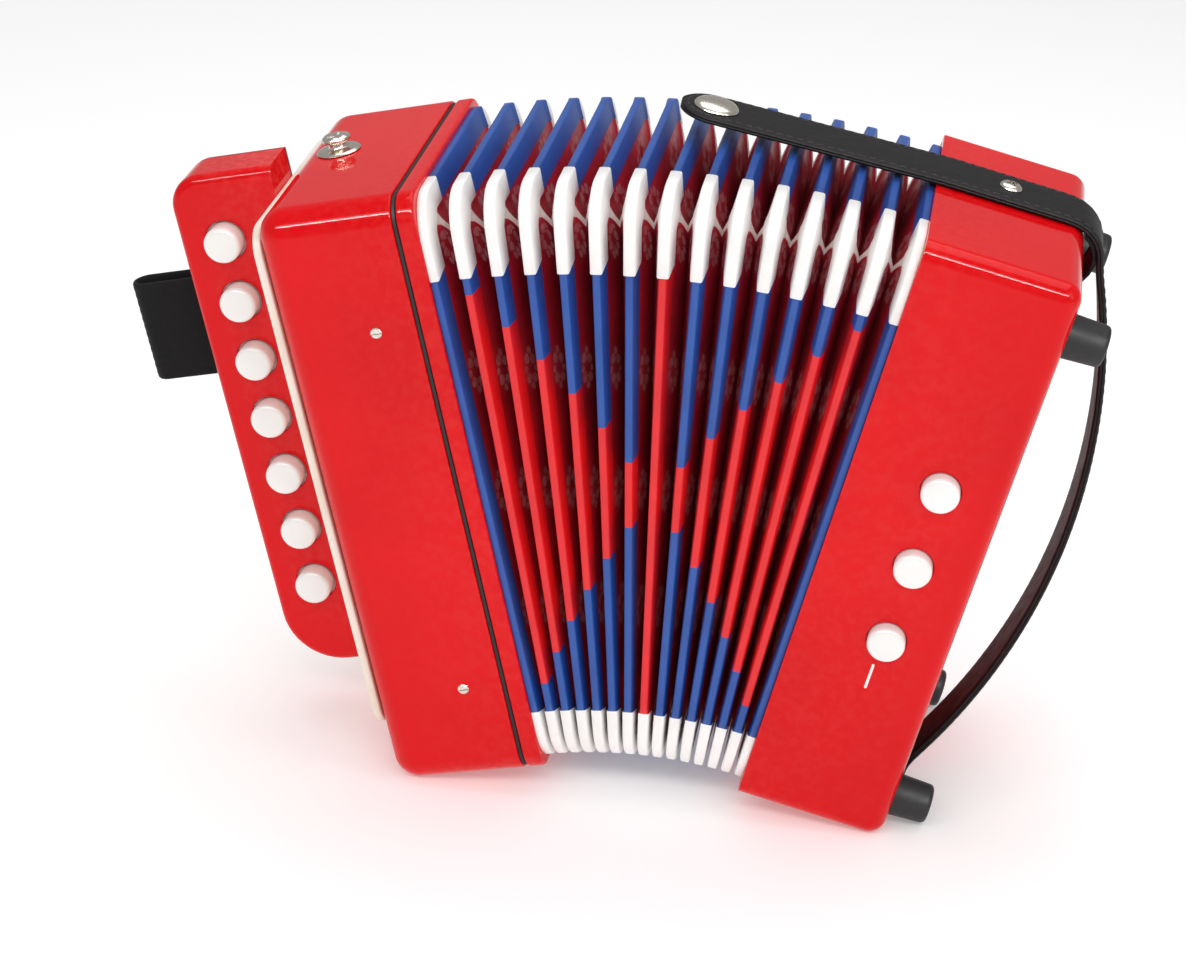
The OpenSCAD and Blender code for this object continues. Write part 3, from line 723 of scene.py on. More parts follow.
def half_fold(column):
    """The left half of one gap in one column, as (x, depth, weight) from ridge to valley.

    The weight is how far a point follows the next ridge, so that the walls meet when the bellows is shut.
    """
    depth = column.depth
    crest = column.crest_half()

    def share(d):
        return (d - CREST_EDGE) / (depth - CREST_EDGE)

    def wall(d):
        return crest - TAPE_T + (column.half_gap(d) - crest + TAPE_T) * share(d) ** WALL_BEND

    def shut(d):
        return SHUT_CREST + (SHUT_VALLEY - SHUT_CREST) * share(d)

    def point(x, d, shut_x, follow_x):
        opened = GAP_ANGLE * (column.outline(d)[1] - POLE_R)
        return x, d, min(max((follow_x - shut_x) / opened, 0), 0.5)

    outer = []
    for x, d in ((0, 0), (crest - 0.55, 0.03), (crest - 0.2, 0.2), (crest, CREST_EDGE)):
        outer.append(point(x, d, SHUT_CREST * x / crest, x))
    edge = wall(TAPE_DEPTH) + TAPE_T
    outer.append(point(edge, TAPE_DEPTH, shut(TAPE_DEPTH), edge))
    top = TAPE_DEPTH + 0.1
    for step in WALL_STEPS:
        d = top + (depth - top) * step
        outer.append(point(wall(d), d, shut(d), wall(d)))
    lining = (depth * 0.6, CREST_EDGE + 1.2)
    inner = [point(max(wall(d) - CARD_T, 0.3), d, shut(d), wall(d)) for d in lining]
    inner.append((0, CREST_EDGE + 0.9, 0))
    valley = column.half_gap(depth)
    return outer, (valley, depth, 0.5), (valley, depth + VALLEY_T, 0.5), inner


def tape_slot(column, following, ridge):
    """Colour of the tape of a ridge between two columns."""
    if column.white and following.white:
        return WHITE_SLOT
    from_middle = abs(ridge - 1 - GAPS // 2)
    turning = max(column.corner, following.corner) > 0
    if turning or not (column.on_side and following.on_side) or from_middle == GAPS // 2:
        return BLUE_SLOT
    red_half = RED_STEP * from_middle if from_middle else BELLOWS_HALF_R
    red = max(abs(column.off_mid), abs(following.off_mid)) < red_half + 0.01
    return RED_SLOT if red else BLUE_SLOT


def paint(skin, faces, slot_of):
    """Sets the slot of each face between two columns; slot_of picks it for the number of a face."""
    for k, column in enumerate(COLUMNS):
        following = COLUMNS[(k + 1) % len(COLUMNS)]
        for i in range(faces):
            skin.slots[k * faces + i] = slot_of(column, following, i)


def wall_slot(column, following):
    """Colour of a wall between two columns: a gusset in the middle of each corner."""
    turns = sorted((column.corner, following.corner))
    return GUSSET_SLOT if turns[0] > GUSSET_SHARE and turns[1] < 1 - GUSSET_SHARE else WALL_SLOT


def bellows_strip(gap):
    """The skin from the crest of one ridge, down to the valley and up to the crest of the next.

    Round each ring its faces are those of a ridge, two walls and the next ridge, then of the card inside.
    """
    skin = Skin()
    left_angle = -HALF_FAN + (gap - 1) * GAP_ANGLE
    right_angle = left_angle + GAP_ANGLE
    weights, along, depths, sides = [], [], [], []
    rings = []
    for column in COLUMNS:
        outer, valley, inner_valley, inner = half_fold(column)
        left = [(left_angle, x, d, w) for x, d, w in outer]
        right = [(right_angle, -x, d, 1 - w) for x, d, w in reversed(outer)]
        under_right = [(right_angle, -x, d, 1 - w) for x, d, w in reversed(inner)]
        under_left = [(left_angle, x, d, w) for x, d, w in inner]
        ring = [*left, (left_angle, *valley), *right]
        ring += [*under_right, (left_angle, *inner_valley), *under_left]
        rings.append([column.point(angle, x, d) for angle, x, d, w in ring])
        weights += [w for angle, x, d, w in ring]
        depths += [d for angle, x, d, w in ring]
        along += [column.along] * len(ring)
        sides += [0.0 if column.corner else 1.0] * len(ring)
    skin.loft(rings, closed=True)
    last_tape = 4
    outer_faces = 2 * (last_tape + len(WALL_STEPS)) + 2

    def slot_of(column, following, i):
        if i >= outer_faces:
            return CARD_SLOT
        if i <= last_tape:
            return tape_slot(column, following, gap)
        if i >= outer_faces - last_tape - 1:
            return tape_slot(column, following, gap + 1)
        return wall_slot(column, following)

    paint(skin, len(rings[0]), slot_of)
    materials = [RED_TAPE, BLUE_TAPE, WHITE_TAPE, WALL, GUSSET, CARD]
    strip = skin.make(f"bellows_strip_{gap:02d}", materials, sharp_deg=50)
    for name, values in (("along", along), ("depth", depths), ("side", sides)):
        strip.data.attributes.new(name, "FLOAT", "POINT").data.foreach_set("value", values)
    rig.slot(strip, "bellows_card")
    start, end = (fan_point(angle, 0, 0, BELLOWS_MID_R) for angle in (left_angle, right_angle))
    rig.blend(strip, ridge_body(gap), ridge_body(gap + 1), start, end)
    strip.data.attributes["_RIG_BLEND"].data.foreach_set("value", weights)
    if gap < GAPS:
        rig.replaces(strip, f"bellows_fold_{gap:02d}")


def ridge_body(ridge):
    """The body that a ridge rides on, counted from the treble box."""
    if ridge == 1:
        return "treble_side"
    return "bass_side" if ridge == GAPS + 1 else f"bellows_fold_{ridge - 1:02d}"


def bellows_end(name, node, angle, sign, body):
    """The half of an end ridge that lies against its box."""
    inner_end = CORNER_DEPTH - 0.3
    profile = [(0, 0), (0.9, 0), (1.1, 0.15), (1.12, 0.5), (1.12, inner_end), (0, inner_end)]
    rings = [[column.point(angle, sign * x, d) for x, d in profile] for column in COLUMNS]
    skin = Skin()
    skin.loft(rings, closed=True)
    paint(skin, len(profile), lambda column, following, i: tape_slot(column, following, 1))
    piece = skin.make(name, [RED_TAPE, BLUE_TAPE, WHITE_TAPE], sharp_deg=50)
    finish_piece(piece, body, "bellows_card", [node])


for gap in range(1, GAPS + 1):
    bellows_strip(gap)
bellows_end("bellows_rim_treble", "bellows_end_treble", -HALF_FAN, -1, "treble_side")
bellows_end("bellows_rim_bass", "bellows_end_bass", HALF_FAN, 1, "bass_side")


# ---------- boxes ----------

WALL_T = 3.0
TREBLE_ROUND = 9.0
BASS_ROUND = 6.0


def box_piece(name, box, node, radius):
    """A box open towards the bellows, with round edges and a small bevel along its open rim."""
    low, high = box.span(node)
    bevel = 0.5
    profile = [(high.x - WALL_T, WALL_T), (low.x + bevel, WALL_T), (low.x, WALL_T - bevel)]
    profile += [(low.x, bevel), (low.x + 0.15, 0.15), (low.x + bevel, 0), (high.x - radius, 0)]
    profile += [(high.x - radius + across, radius - along) for across, along in quarter(radius, 10)[1:]]
    return loft(name, box.rings(profile, high.y, low.z, high.z, radius), RED, sharp_deg=50)


def treble_band(name, profile, material):
    """A closed band that follows the outline of the treble box; profile holds (u, inset) pairs."""
    rings = TREBLE.rings(profile, HALF_Y, 0, CASE_H, TREBLE_ROUND)
    return loft(name, rings, material, closed=True, sharp_deg=45)


def button_cutters(box, centres, front_y, radius):
    """One drill for each CAD button's centre, flared a little at the front surface."""
    flare = 0.4
    profile = [(radius, -6), (radius, -flare), (radius + flare, 0), (radius + flare, 2)]

    def drill(centre):
        def place(a, b, h):
            return box.point(centre.x + a, front_y - h, centre.z + b)
        return lathe("drill", place, profile, RED, 64)

    return [drill(centre) for centre in centres]


def middle(span):
    return (span[0] + span[1]) / 2


CASE_LOW, CASE_HIGH = TREBLE.span("treble_case")
HALF_Y = CASE_HIGH.y
CASE_H = CASE_HIGH.z

treble_case = box_piece("treble_box", TREBLE, "treble_case", TREBLE_ROUND)
even_normals(treble_case)
finish_piece(treble_case, "treble_side", "red_lacquer", ["treble_case"])

LIP_T = CASE_LOW.x - 1.5
SLEEVE_END = TREBLE.span("treble_bellows_frame")[1].x
LIP_BORDER = 15.0
SLEEVE_OUT = WALL_T + 0.05
SLEEVE_IN = SLEEVE_OUT + 4
LIP = [(0, LIP_BORDER), (0, 1), (0.3, 0.3), (1, 0), (LIP_T - 1, 0), (LIP_T - 0.3, 0.3), (LIP_T, 1)]
LIP += [(LIP_T, SLEEVE_OUT), (SLEEVE_END, SLEEVE_OUT), (SLEEVE_END, SLEEVE_IN)]
LIP += [(LIP_T, SLEEVE_IN), (LIP_T, LIP_BORDER)]
lip = treble_band("bellows_lip", LIP, RED)
even_normals(lip)
finish_piece(lip, "treble_side", "red_lacquer", ["treble_bellows_frame"])

SEAL = [(LIP_T + 0.05, 3), (LIP_T + 0.05, 1), (LIP_T + 0.3, 0.7), (CASE_LOW.x - 0.3, 0.7)]
SEAL += [(CASE_LOW.x - 0.05, 1), (CASE_LOW.x - 0.05, 3)]
seal = treble_band("box_seal", SEAL, GASKET)
finish_piece(seal, "treble_side", "black_gasket", ["treble_seal"])

BASS_HIGH = BASS.span("bass_case")[1]
BASS_BUTTONS = [middle(BASS.span(f"bass_button_{i}")) for i in (1, 2, 3)]
BUTTON_R = (BASS.span("bass_button_1")[1] - BASS_BUTTONS[0]).x
bass_case = box_piece("bass_box", BASS, "bass_case", BASS_ROUND)
cut(bass_case, button_cutters(BASS, BASS_BUTTONS, -HALF_Y, BUTTON_R + 0.3))
even_normals(bass_case)
finish_piece(bass_case, "bass_side", "red_lacquer", ["bass_case"])


def cream_board():
    """The board between the treble box and the fingerboard, with its outer edge rounded."""
    low, high = TREBLE.span("end_board")
    edge = 0.7
    profile = [(low.x, edge), (low.x + edge, 0), (high.x - edge, 0)]
    for turn in (0.5, 1.05, 1.57):
        profile.append((high.x - edge + edge * math.sin(turn), edge - edge * math.cos(turn)))
    rings = TREBLE.rings(profile, high.y, low.z, high.z, TREBLE_ROUND)
    board = loft("cream_board", rings, IVORY, sharp_deg=50)
    even_normals(board)
    finish_piece(board, "treble_side", "ivory_board", ["end_board"])


cream_board()


# ---------- fingerboard ----------

FINGER_LOW, FINGER_HIGH = TREBLE.span("fingerboard")
FINGER_TOP_ROUND = 11.0
FINGER_LOW_ROUND = 20.0
FINGER_EDGE = 3.2
FINGER_WALL = 2.5
PAST = 5.0            # cutters reach past a face by this much


def finger_outline(inset, inner_u):
    """Outline of the fingerboard in u and z; only its three outer sides move inward with inset."""
    end, low, high = FINGER_HIGH.x - inset, FINGER_LOW.z + inset, FINGER_HIGH.z - inset
    low_r, high_r = FINGER_LOW_ROUND - inset, FINGER_TOP_ROUND - inset
    outline = [(inner_u, low)]
    outline += arc(end - low_r, low + low_r, low_r, -90, 0, 12)
    outline += arc(end - high_r, high - high_r, high_r, 0, 90, 12)
    outline.append((inner_u, high))
    return outline


def finger_rings(profile, inner_u):
    return [[TREBLE.point(u, y, z) for u, z in finger_outline(inset, inner_u)] for y, inset in profile]


def fingerboard():
    """A shell with a round front edge, open at the back and towards the end board, drilled for buttons."""
    front, back = FINGER_LOW.y, FINGER_HIGH.y
    edge = [(front + FINGER_EDGE - rise, FINGER_EDGE - run) for rise, run in quarter(FINGER_EDGE, 6)]
    profile = [*reversed(edge), (back, 0)]
    board = loft("finger_board", finger_rings(profile, FINGER_LOW.x), RED, sharp_deg=50)
    hollow = [(front + FINGER_WALL, FINGER_WALL), (back + PAST, FINGER_WALL)]
    cutters = [loft("hollow", finger_rings(hollow, FINGER_LOW.x + 1.5), RED)]
    low_u, high_u = FINGER_LOW.x - 1, FINGER_LOW.x + 2
    low_z, high_z = FINGER_LOW.z + 5, TREBLE.span("end_board")[1].z - 5
    opening = [(low_u, low_z), (high_u, low_z), (high_u, high_z), (low_u, high_z)]
    rings = [[TREBLE.point(u, y, z) for u, z in opening] for y in (front + FINGER_WALL, back + PAST)]
    cutters.append(loft("opening", rings, RED))
    centres = [middle(TREBLE.span(f"treble_button_{i}")) for i in range(1, 8)]
    cutters += button_cutters(TREBLE, centres, front, BUTTON_R + 0.7)
    cut(board, cutters)
    even_normals(board)
    finish_piece(board, "treble_side", "red_lacquer", ["fingerboard"])


def fingerboard_back():
    low, high = TREBLE.span("fingerboard_back")
    profile = [(low.y, 0.15), (high.y - 0.6, 0.15), (high.y - 0.18, 0.3), (high.y, 0.8)]
    panel = loft("finger_board_back", finger_rings(profile, low.x), RED_BACK, sharp_deg=50)
    even_normals(panel)
    finish_piece(panel, "treble_side", "red_back", ["fingerboard_back"])


fingerboard()
fingerboard_back()


# ---------- buttons ----------

def dome(radius, edge, rise):
    """Profile of a button's face from its rim to its middle, as (radius, depth below the face)."""
    profile = [(radius, edge + rise)]
    profile += [(radius - edge + run, rise + edge - up) for up, run in quarter(edge, 6)[1:]]
    profile += [((radius - edge) * share, rise * share * share) for share in (0.66, 0.33, 0)]
    return profile


BUTTON_FACE = dome(BUTTON_R, 1.6, 0.45)
FLANGE = 8.7          # depth of the flange that keeps a treble button in its hole
FLANGE_R = BUTTON_R + 1.6
SKIRT = 8.0           # length of a bass button that is as wide as its face


def treble_stem(length):
    """From the tip that rests on the lever to the flange."""
    stem = [(0.8, length - 0.3), (1.4, length - 0.8), (2.2, length - 2.4), (2.4, FLANGE + 1.2)]
    return stem + [(FLANGE_R, FLANGE + 1.2), (FLANGE_R, FLANGE), (BUTTON_R, FLANGE)]


def bass_stem(length):
    return [(2, length), (2, SKIRT), (BUTTON_R, SKIRT)]


def button(box, name, stem):
    """A button turned about the line through its CAD node, from its stem to its face."""
    low, high = box.span(name)
    centre = (low + high) / 2

    def place(a, b, h):
        return box.point(centre.x + a, low.y + h, centre.z + b)

    piece = lathe(name + "_cap", place, stem(high.y - low.y) + BUTTON_FACE, WHITE, 56, 40)
    finish_piece(piece, name, "white_button", [name])


for i in range(1, 8):
    button(TREBLE, f"treble_button_{i}", treble_stem)
for i in range(1, 4):
    button(BASS, f"bass_button_{i}", bass_stem)


# ---------- metal parts ----------

def stud():
    """The snap's stud on the treble box: a washer, a neck and a head with six dents."""
    centre = middle(TREBLE.span("strap_stud"))
    profile = [(0.1, 0.05), (7.2, 0.05), (7.5, 0.35), (7.1, 0.9), (6, 1.1), (3.6, 1.2), (3, 1.8)]
    profile += [(3, 2.8), (3.6, 3.2), (4.5, 3.6), (4.9, 4.2), (4.9, 4.8), (4.5, 5.4), (3.7, 5.8)]
    profile += [(2.8, 5.9), (1.6, 5.6), (0, 5.4)]

    def place(a, b, h):
        return TREBLE.point(centre.x + a, centre.y + b, CASE_H + h)

    piece = lathe("strap_stud_head", place, profile, NICKEL, 60, 50, petals=6, dent=0.5)
    finish_piece(piece, "treble_side", "nickel", ["strap_stud"])


def pins():
    """Four slotted pins that hold the bellows frame in the treble box."""
    for i, (y_sign, upper) in enumerate(((-1, False), (-1, True), (1, False), (1, True))):
        def mine(p):
            return p.y * y_sign > 0 and (p.z > CASE_H / 2) == upper

        centre = middle(TREBLE.span("frame_pins", mine))

        def place(a, b, h):
            return TREBLE.point(centre.x + a, y_sign * (HALF_Y + h), centre.z + b)

        profile = [(1.9, -5), (1.9, 0.3), (1.6, 0.6), (0, 0.7)]
        pin = lathe(f"frame_pin_{i + 1}", place, profile, NICKEL, 32)
        cut(pin, [block("slot", lambda a, b, h: place(a, b, h + 0.6), (6, 0.7, 0.9), NICKEL)])
        finish_piece(pin, "treble_side", "nickel", ["frame_pins"] if i == 0 else ())


def cross_screw(name, place, nodes):
    """Domed screw head with a cross recess; height 0 is the surface it sits on."""
    profile = [(1.4, -4), (1.4, 0), (3.6, 0.02), (3.75, 0.25), (3.5, 0.8), (2.8, 1.3)]
    profile += [(1.6, 1.65), (0, 1.75)]
    head = lathe(name, place, profile, NICKEL, 40, 40)
    recess = 1.6
    turn = math.radians(25)
    c, s = math.cos(turn), math.sin(turn)

    def turned(a, b, h):
        return place(a * c - b * s, a * s + b * c, h + recess)

    cut(head, [block("slot", turned, size, NICKEL) for size in ((4, 0.8, recess), (0.8, 4, recess))])
    finish_piece(head, "bass_side", "nickel", nodes)


def strap_screws():
    """One screw through the strap into the top of the bass box and one into its side."""
    top = middle(BASS.span("hand_strap_screws", lambda p: p.z > CASE_H / 2))
    side = middle(BASS.span("hand_strap_screws", lambda p: p.z < CASE_H / 2))
    top_z = BASS.span("hand_strap")[1].z
    side_u = BASS_HIGH.x + top_z - CASE_H

    def on_top(a, b, h):
        return BASS.point(top.x + a, top.y + b, top_z + h)

    def on_side(a, b, h):
        return BASS.point(side_u + h, side.y + a, side.z + b)

    cross_screw("strap_screw_top", on_top, ["hand_strap_screws"])
    cross_screw("strap_screw_low", on_side, ())


stud()
pins()
strap_screws()


# ---------- feet and line ----------

def feet():
    """Each foot is turned about the axis of its mount, whose place is the middle of its end face."""
    profile = [(7.5, -14), (7.55, -13), (7.3, -12.4), (6.8, -1.6), (6.6, -0.8), (6.1, -0.25), (5.4, 0)]
    profile += [(2.6, 0), (2.4, -0.2), (2.3, -1.6), (0, -1.6)]
    for i, mount in enumerate(frame["record"]["mounts"]):
        end = Vector(mount["pos_m"])
        axis = Vector(mount["axis"]).normalized()
        side = Vector((0, 1, 0))
        up = axis.cross(side)

        def place(a, b, h):
            return end + (side * a + up * b + axis * h) * MM

        foot = lathe(f"foot_{i + 1}", place, profile, RUBBER)
        finish_piece(foot, "bass_side", "foot_rubber", ["rubber_feet"] if i == 0 else ())


def front_line():
    """A short thin line on the front of the bass box, below the lowest button."""
    below, beside = 19.3, 1.3
    length, half_width, proud, sunk = 9.5, 0.45, 0.14, 0.3
    mid_u = BASS_BUTTONS[0].x - beside
    low_z = BASS_BUTTONS[0].z - below
    rings = []
    for rise, inset in ((0, 0.25), (0.3, 0), (length - 0.3, 0), (length, 0.25)):
        half = half_width - inset
        left = [(-half, sunk), (-half, -proud * 0.5), (-half * 0.6, -proud)]
        outline = left + [(-u, y) for u, y in reversed(left)]
        rings.append([BASS.point(mid_u + u, y - HALF_Y, low_z + rise) for u, y in outline])
    line = loft("front_line", rings, WHITE)
    finish_piece(line, "bass_side", "white_button")


feet()
front_line()


# ---------- leather strap ----------

RISE = BASS.local(JOINTS["closing_strap_rise"]["pos_m"])
LIFT = BASS.local(JOINTS["closing_strap_lift"]["pos_m"])
STRAP_LOW, STRAP_HIGH = BASS.span("hand_strap")
STRAP_T = STRAP_HIGH.z - RISE.z
STRAP_Y = RISE.y
STRAP_HALF = (BASS.span("closing_strap_root")[1] - RISE).y
ROOT_LEN = math.sqrt((LIFT.x - RISE.x) ** 2 + (LIFT.z - RISE.z) ** 2 - STRAP_T ** 2)
DIP = math.atan2(STRAP_T, ROOT_LEN) - math.atan2(LIFT.z - RISE.z, RISE.x - LIFT.x)
CORNER_BEND = 12.0
CORNER_PAST = 6.0     # the strap turns down this far outside the side of the box
STITCH = 3.4
STITCH_INSET = 2.0
STRAP_LOW_LEN = 9.0   # the strap lies against the box over this length at its low end
PATH_STEP = 0.85
SMOOTHINGS = 24       # rounds of averaging that soften the bends of its line
STRAP_LOW_END = middle(BASS.span("hand_strap", lambda p: p.z < STRAP_LOW.z + 8))
TURN_Z = RISE.z - CORNER_BEND
SKEW = math.atan2(STRAP_Y - STRAP_LOW_END.y, TURN_Z - STRAP_LOW_END.z)


def closing(d, v):
    """Place in u and z on the closing strap: d from its bend line, v above its underside."""
    c, s = math.cos(DIP), math.sin(DIP)
    return Vector((RISE.x - d * c - v * s, RISE.z - d * s + v * c))


def along_closing(node):
    """How far a node reaches along the closing strap, as (nearest, farthest)."""
    c, s = math.cos(DIP), math.sin(DIP)
    points = [BASS.local(vertex.co) - RISE for vertex in frame["nodes"][node].data.vertices]
    reaches = [-point.x * c - point.z * s for point in points]
    return min(reaches), max(reaches)


TIP = along_closing("closing_strap")[1]
SNAP = sum(along_closing("snap_cap")) / 2


def bow(start, end, rise, steps):
    """Points on the arc from start to end that bulges by rise towards larger u."""
    chord = (end - start).length
    along = (end - start) / chord
    out = Vector((-along.y, along.x))
    radius = (chord * chord / 4 + rise * rise) / (2 * rise)
    centre = (start + end) / 2 - out * (radius - rise)
    half = math.asin(chord / 2 / radius)
    turns = [-half + 2 * half * k / steps for k in range(steps + 1)]
    return [centre + (out * math.cos(turn) + along * math.sin(turn)) * radius for turn in turns]


def even_path(points, step):
    """Points about a step apart along a line of points."""
    length = sum((b - a).length for a, b in zip(points, points[1:]))
    count = round(length / step)
    path = []
    done = 0.0
    for a, b in zip(points, points[1:]):
        part = (b - a).length
        while len(path) <= count and len(path) * length / count <= done + part + 1e-9:
            path.append(a.lerp(b, (len(path) * length / count - done) / part))
        done += part
    return path, length / count


def strap_line():
    """Middle line of the strap from its tip over the bass box to its low end."""
    half_t = STRAP_T / 2
    face_u = BASS_HIGH.x + RISE.z - CASE_H + half_t
    corner_u = BASS_HIGH.x + CORNER_PAST - CORNER_BEND
    points = [closing(TIP, half_t), closing(0, half_t)]
    points += [Vector(p) for p in arc(corner_u, TURN_Z, CORNER_BEND + half_t, 90, 0, 16)]
    low = Vector((face_u, STRAP_LOW.z + STRAP_LOW_LEN))
    rise = STRAP_HIGH.x - half_t - (points[-1].x + face_u) / 2
    points += bow(low, points[-1], -rise, 40)[-2:0:-1]
    points += [low, Vector((face_u, STRAP_LOW.z))]
    path, step = even_path(points, PATH_STEP)
    for _ in range(SMOOTHINGS):
        inner = [(a + b * 2 + c) / 4 for a, b, c in zip(path, path[1:], path[2:])]
        path = [path[0], *inner, path[-1]]
    return path, step


LINE, LINE_STEP = strap_line()
LINE_LEN = LINE_STEP * (len(LINE) - 1)
TIP_ROUND = STRAP_HALF
SKEW_START = TIP + BASS_HIGH.x - RISE.x - 10   # the strap starts to lean forward just before the corner
SKEW_LEN = 50.0


def strap_point(s, y, v):
    """A point of the strap: s from its tip, y from its middle line, v out from its middle layer."""
    i = min(int(s / LINE_STEP), len(LINE) - 2)
    share = s / LINE_STEP - i
    place = LINE[i].lerp(LINE[i + 1], share)
    before = LINE[i + 1] - LINE[max(i - 1, 0)]
    after = LINE[min(i + 2, len(LINE) - 1)] - LINE[i]
    along = before.normalized().lerp(after.normalized(), share).normalized()
    done = min(max((s - SKEW_START) / SKEW_LEN, 0), 1)
    turn = SKEW * done * done * (3 - 2 * done)
    down = TURN_Z - place.y - along.x * v
    z = TURN_Z - down * math.cos(turn) - y * math.sin(turn)
    return BASS.point(place.x - along.y * v, STRAP_Y - down * math.sin(turn) + y * math.cos(turn), z)


def strap_ring(s):
    """Cross-section with two layers, rounded edges and a groove for the stitches.

    edge holds (distance in from the side, height) round one side; the sides are drawn in at each stitch.
    """
    h = STRAP_T / 2
    edge = [(3.2, -h), (0.8, -h), (0.2, 0.3 - h), (0, -0.55), (0.02, -0.15), (0.25, 0), (0.02, 0.15)]
    edge += [(0, 0.55), (0.2, h - 0.3), (0.8, h), (1.5, h), (1.8, h - 0.2), (2.2, h - 0.2), (2.5, h)]
    edge.append((3.6, h + 0.04))
    half = STRAP_HALF
    if s < TIP_ROUND:
        half = math.sqrt(max(STRAP_HALF ** 2 - (STRAP_HALF - s) ** 2, 0.25))
    else:
        half -= 0.11 * (1 - math.cos(2 * math.pi * (s - TIP_ROUND) / STITCH))
    squeeze = min(1, half / 5)
    left = [(e * squeeze - half, v) for e, v in edge]
    right = [(-y, v) for y, v in reversed(left)]
    return [strap_point(s, y, v) for y, v in left + right]


def stitch(skin, s, y, turn):
    """One raised stitch; turn is its direction from the line of the strap."""
    rings = []
    ds, dy = math.cos(turn), math.sin(turn)
    for reach, radius in ((-1.2, 0.08), (-0.85, 0.3), (0, 0.36), (0.85, 0.3), (1.2, 0.08)):
        ring = []
        for k in range(6):
            across = radius * math.cos(math.pi * k / 3)
            lift = radius * math.sin(math.pi * k / 3)
            place_s = s + reach * ds - across * dy
            ring.append(strap_point(place_s, y + reach * dy + across * ds, STRAP_T / 2 - 0.12 + lift))
        rings.append(ring)
    skin.loft(rings, 1)


def strap_piece(name, start, end):
    """A length of the strap with its stitches; a start at the tip is round."""
    skin = Skin()
    stops = []
    if start == 0:
        stops = [TIP_ROUND * (1 - math.cos(math.radians(a))) for a in range(4, 86, 5)]
    s = max(start, TIP_ROUND)
    count = round((end - s) / PATH_STEP)
    stops += [s + (end - s) * k / count for k in range(count + 1)]
    skin.loft([strap_ring(stop) for stop in stops])
    row = STRAP_HALF - STITCH_INSET
    number = math.ceil((s - TIP_ROUND) / STITCH)
    while TIP_ROUND + (number + 0.5) * STITCH < min(end, LINE_LEN - 4):
        place = TIP_ROUND + (number + 0.5) * STITCH
        if place - STITCH / 2 > s - 0.01:
            stitch(skin, place, row, 0)
            stitch(skin, place, -row, 0)
        number += 1
    if start == 0:
        for turn in (math.radians(a) for a in range(-80, 81, 20)):
            stitch(skin, TIP_ROUND - row * math.cos(turn), row * math.sin(turn), math.pi / 2 - turn)
    return skin.make(name, [LEATHER, THREAD], sharp_deg=60)


def bend_strap(piece, bodies, start, end, nodes):
    """Lets a length of leather bend from one body to the next between two distances along the strap."""
    places = [closing(d, 0) for d in (start, end)]
    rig.slot(piece, "strap_leather")
    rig.blend(piece, *bodies, *(BASS.point(place.x, STRAP_Y, place.y) for place in places))
    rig.replaces(piece, *nodes)


def leather_strap():
    """Two lengths that meet in the middle of the root; each bends about one of its two bend lines."""
    seam = TIP - ROOT_LEN / 2
    closing_part = strap_piece("closing_strap_leather", 0, seam)
    bodies = ("closing_strap_root", "closing_strap")
    bend_strap(closing_part, bodies, ROOT_LEN - 5, ROOT_LEN + 5, ["closing_strap"])
    hand_part = strap_piece("hand_strap_leather", seam, LINE_LEN)
    bend_strap(hand_part, ("bass_side", "closing_strap_root"), -4, 5, ["hand_strap", "closing_strap_root"])


def strap_tail():
    """The lining of the strap ends in a thin tail between the strap and the side of the box."""
    corner_u = BASS_HIGH.x + CORNER_PAST - CORNER_BEND
    line = [Vector(p) for p in arc(corner_u, TURN_Z, CORNER_BEND - 0.75, 58, 6, 8)]
    end = Vector((BASS_HIGH.x + 1.0, TURN_Z - 10))
    start = line[-1]
    for share in (0.3, 0.6, 0.85, 1):
        line.append(start.lerp(end, share) + Vector((0.9, 0)) * math.sin(math.pi * share))
    rings = []
    for i, place in enumerate(line):
        before, after = line[max(i - 1, 0)], line[min(i + 1, len(line) - 1)]
        along = (after - before).normalized()
        out = Vector((-along.y, along.x))
        left = max(0, len(line) - 1 - i)
        half_t = 0.6 if left > 2 else 0.25 + 0.12 * left
        half_y = STRAP_HALF - 1 if left > 2 else STRAP_HALF - 4 + left
        ring = []
        for y, v in ((-1, -1), (1, -1), (1, 1), (-1, 1)):
            for bevel_y, bevel_v in ((0.3, 0), (0, 0.3)) if y * v > 0 else ((0, 0.3), (0.3, 0)):
                spot = place + out * (v * (half_t - bevel_v))
                ring.append(BASS.point(spot.x, STRAP_Y + y * (half_y - bevel_y), spot.y))
        rings.append(ring)
    tail = loft("strap_lining_tail", rings, LEATHER)
    finish_piece(tail, "bass_side", "strap_leather")


def snap():
    """Domed cap above the leather and the snap's socket below it."""
    t = STRAP_T
    profile = [(0, t - 1), (2.4, t - 1), (2.4, -1.6), (4.7, -1.6), (5.2, -1), (5.4, -0.1), (2.45, -0.1)]
    profile += [(2.45, t + 0.05), (7.1, t + 0.05), (7.5, t + 0.3), (7.35, t + 0.7), (6.6, t + 1.3)]
    profile += [(5.2, t + 1.9), (3.4, t + 2.35), (1.6, t + 2.55), (0, t + 2.6)]

    def place(a, b, h):
        spot = closing(SNAP + a, h)
        return BASS.point(spot.x, STRAP_Y + b, spot.y)

    cap = lathe("snap_cap_dome", place, profile, NICKEL, 56, 50)
    finish_piece(cap, "closing_strap", "nickel", ["snap_cap"])


leather_strap()
strap_tail()
snap()


# ---------- elastic thumb loop ----------

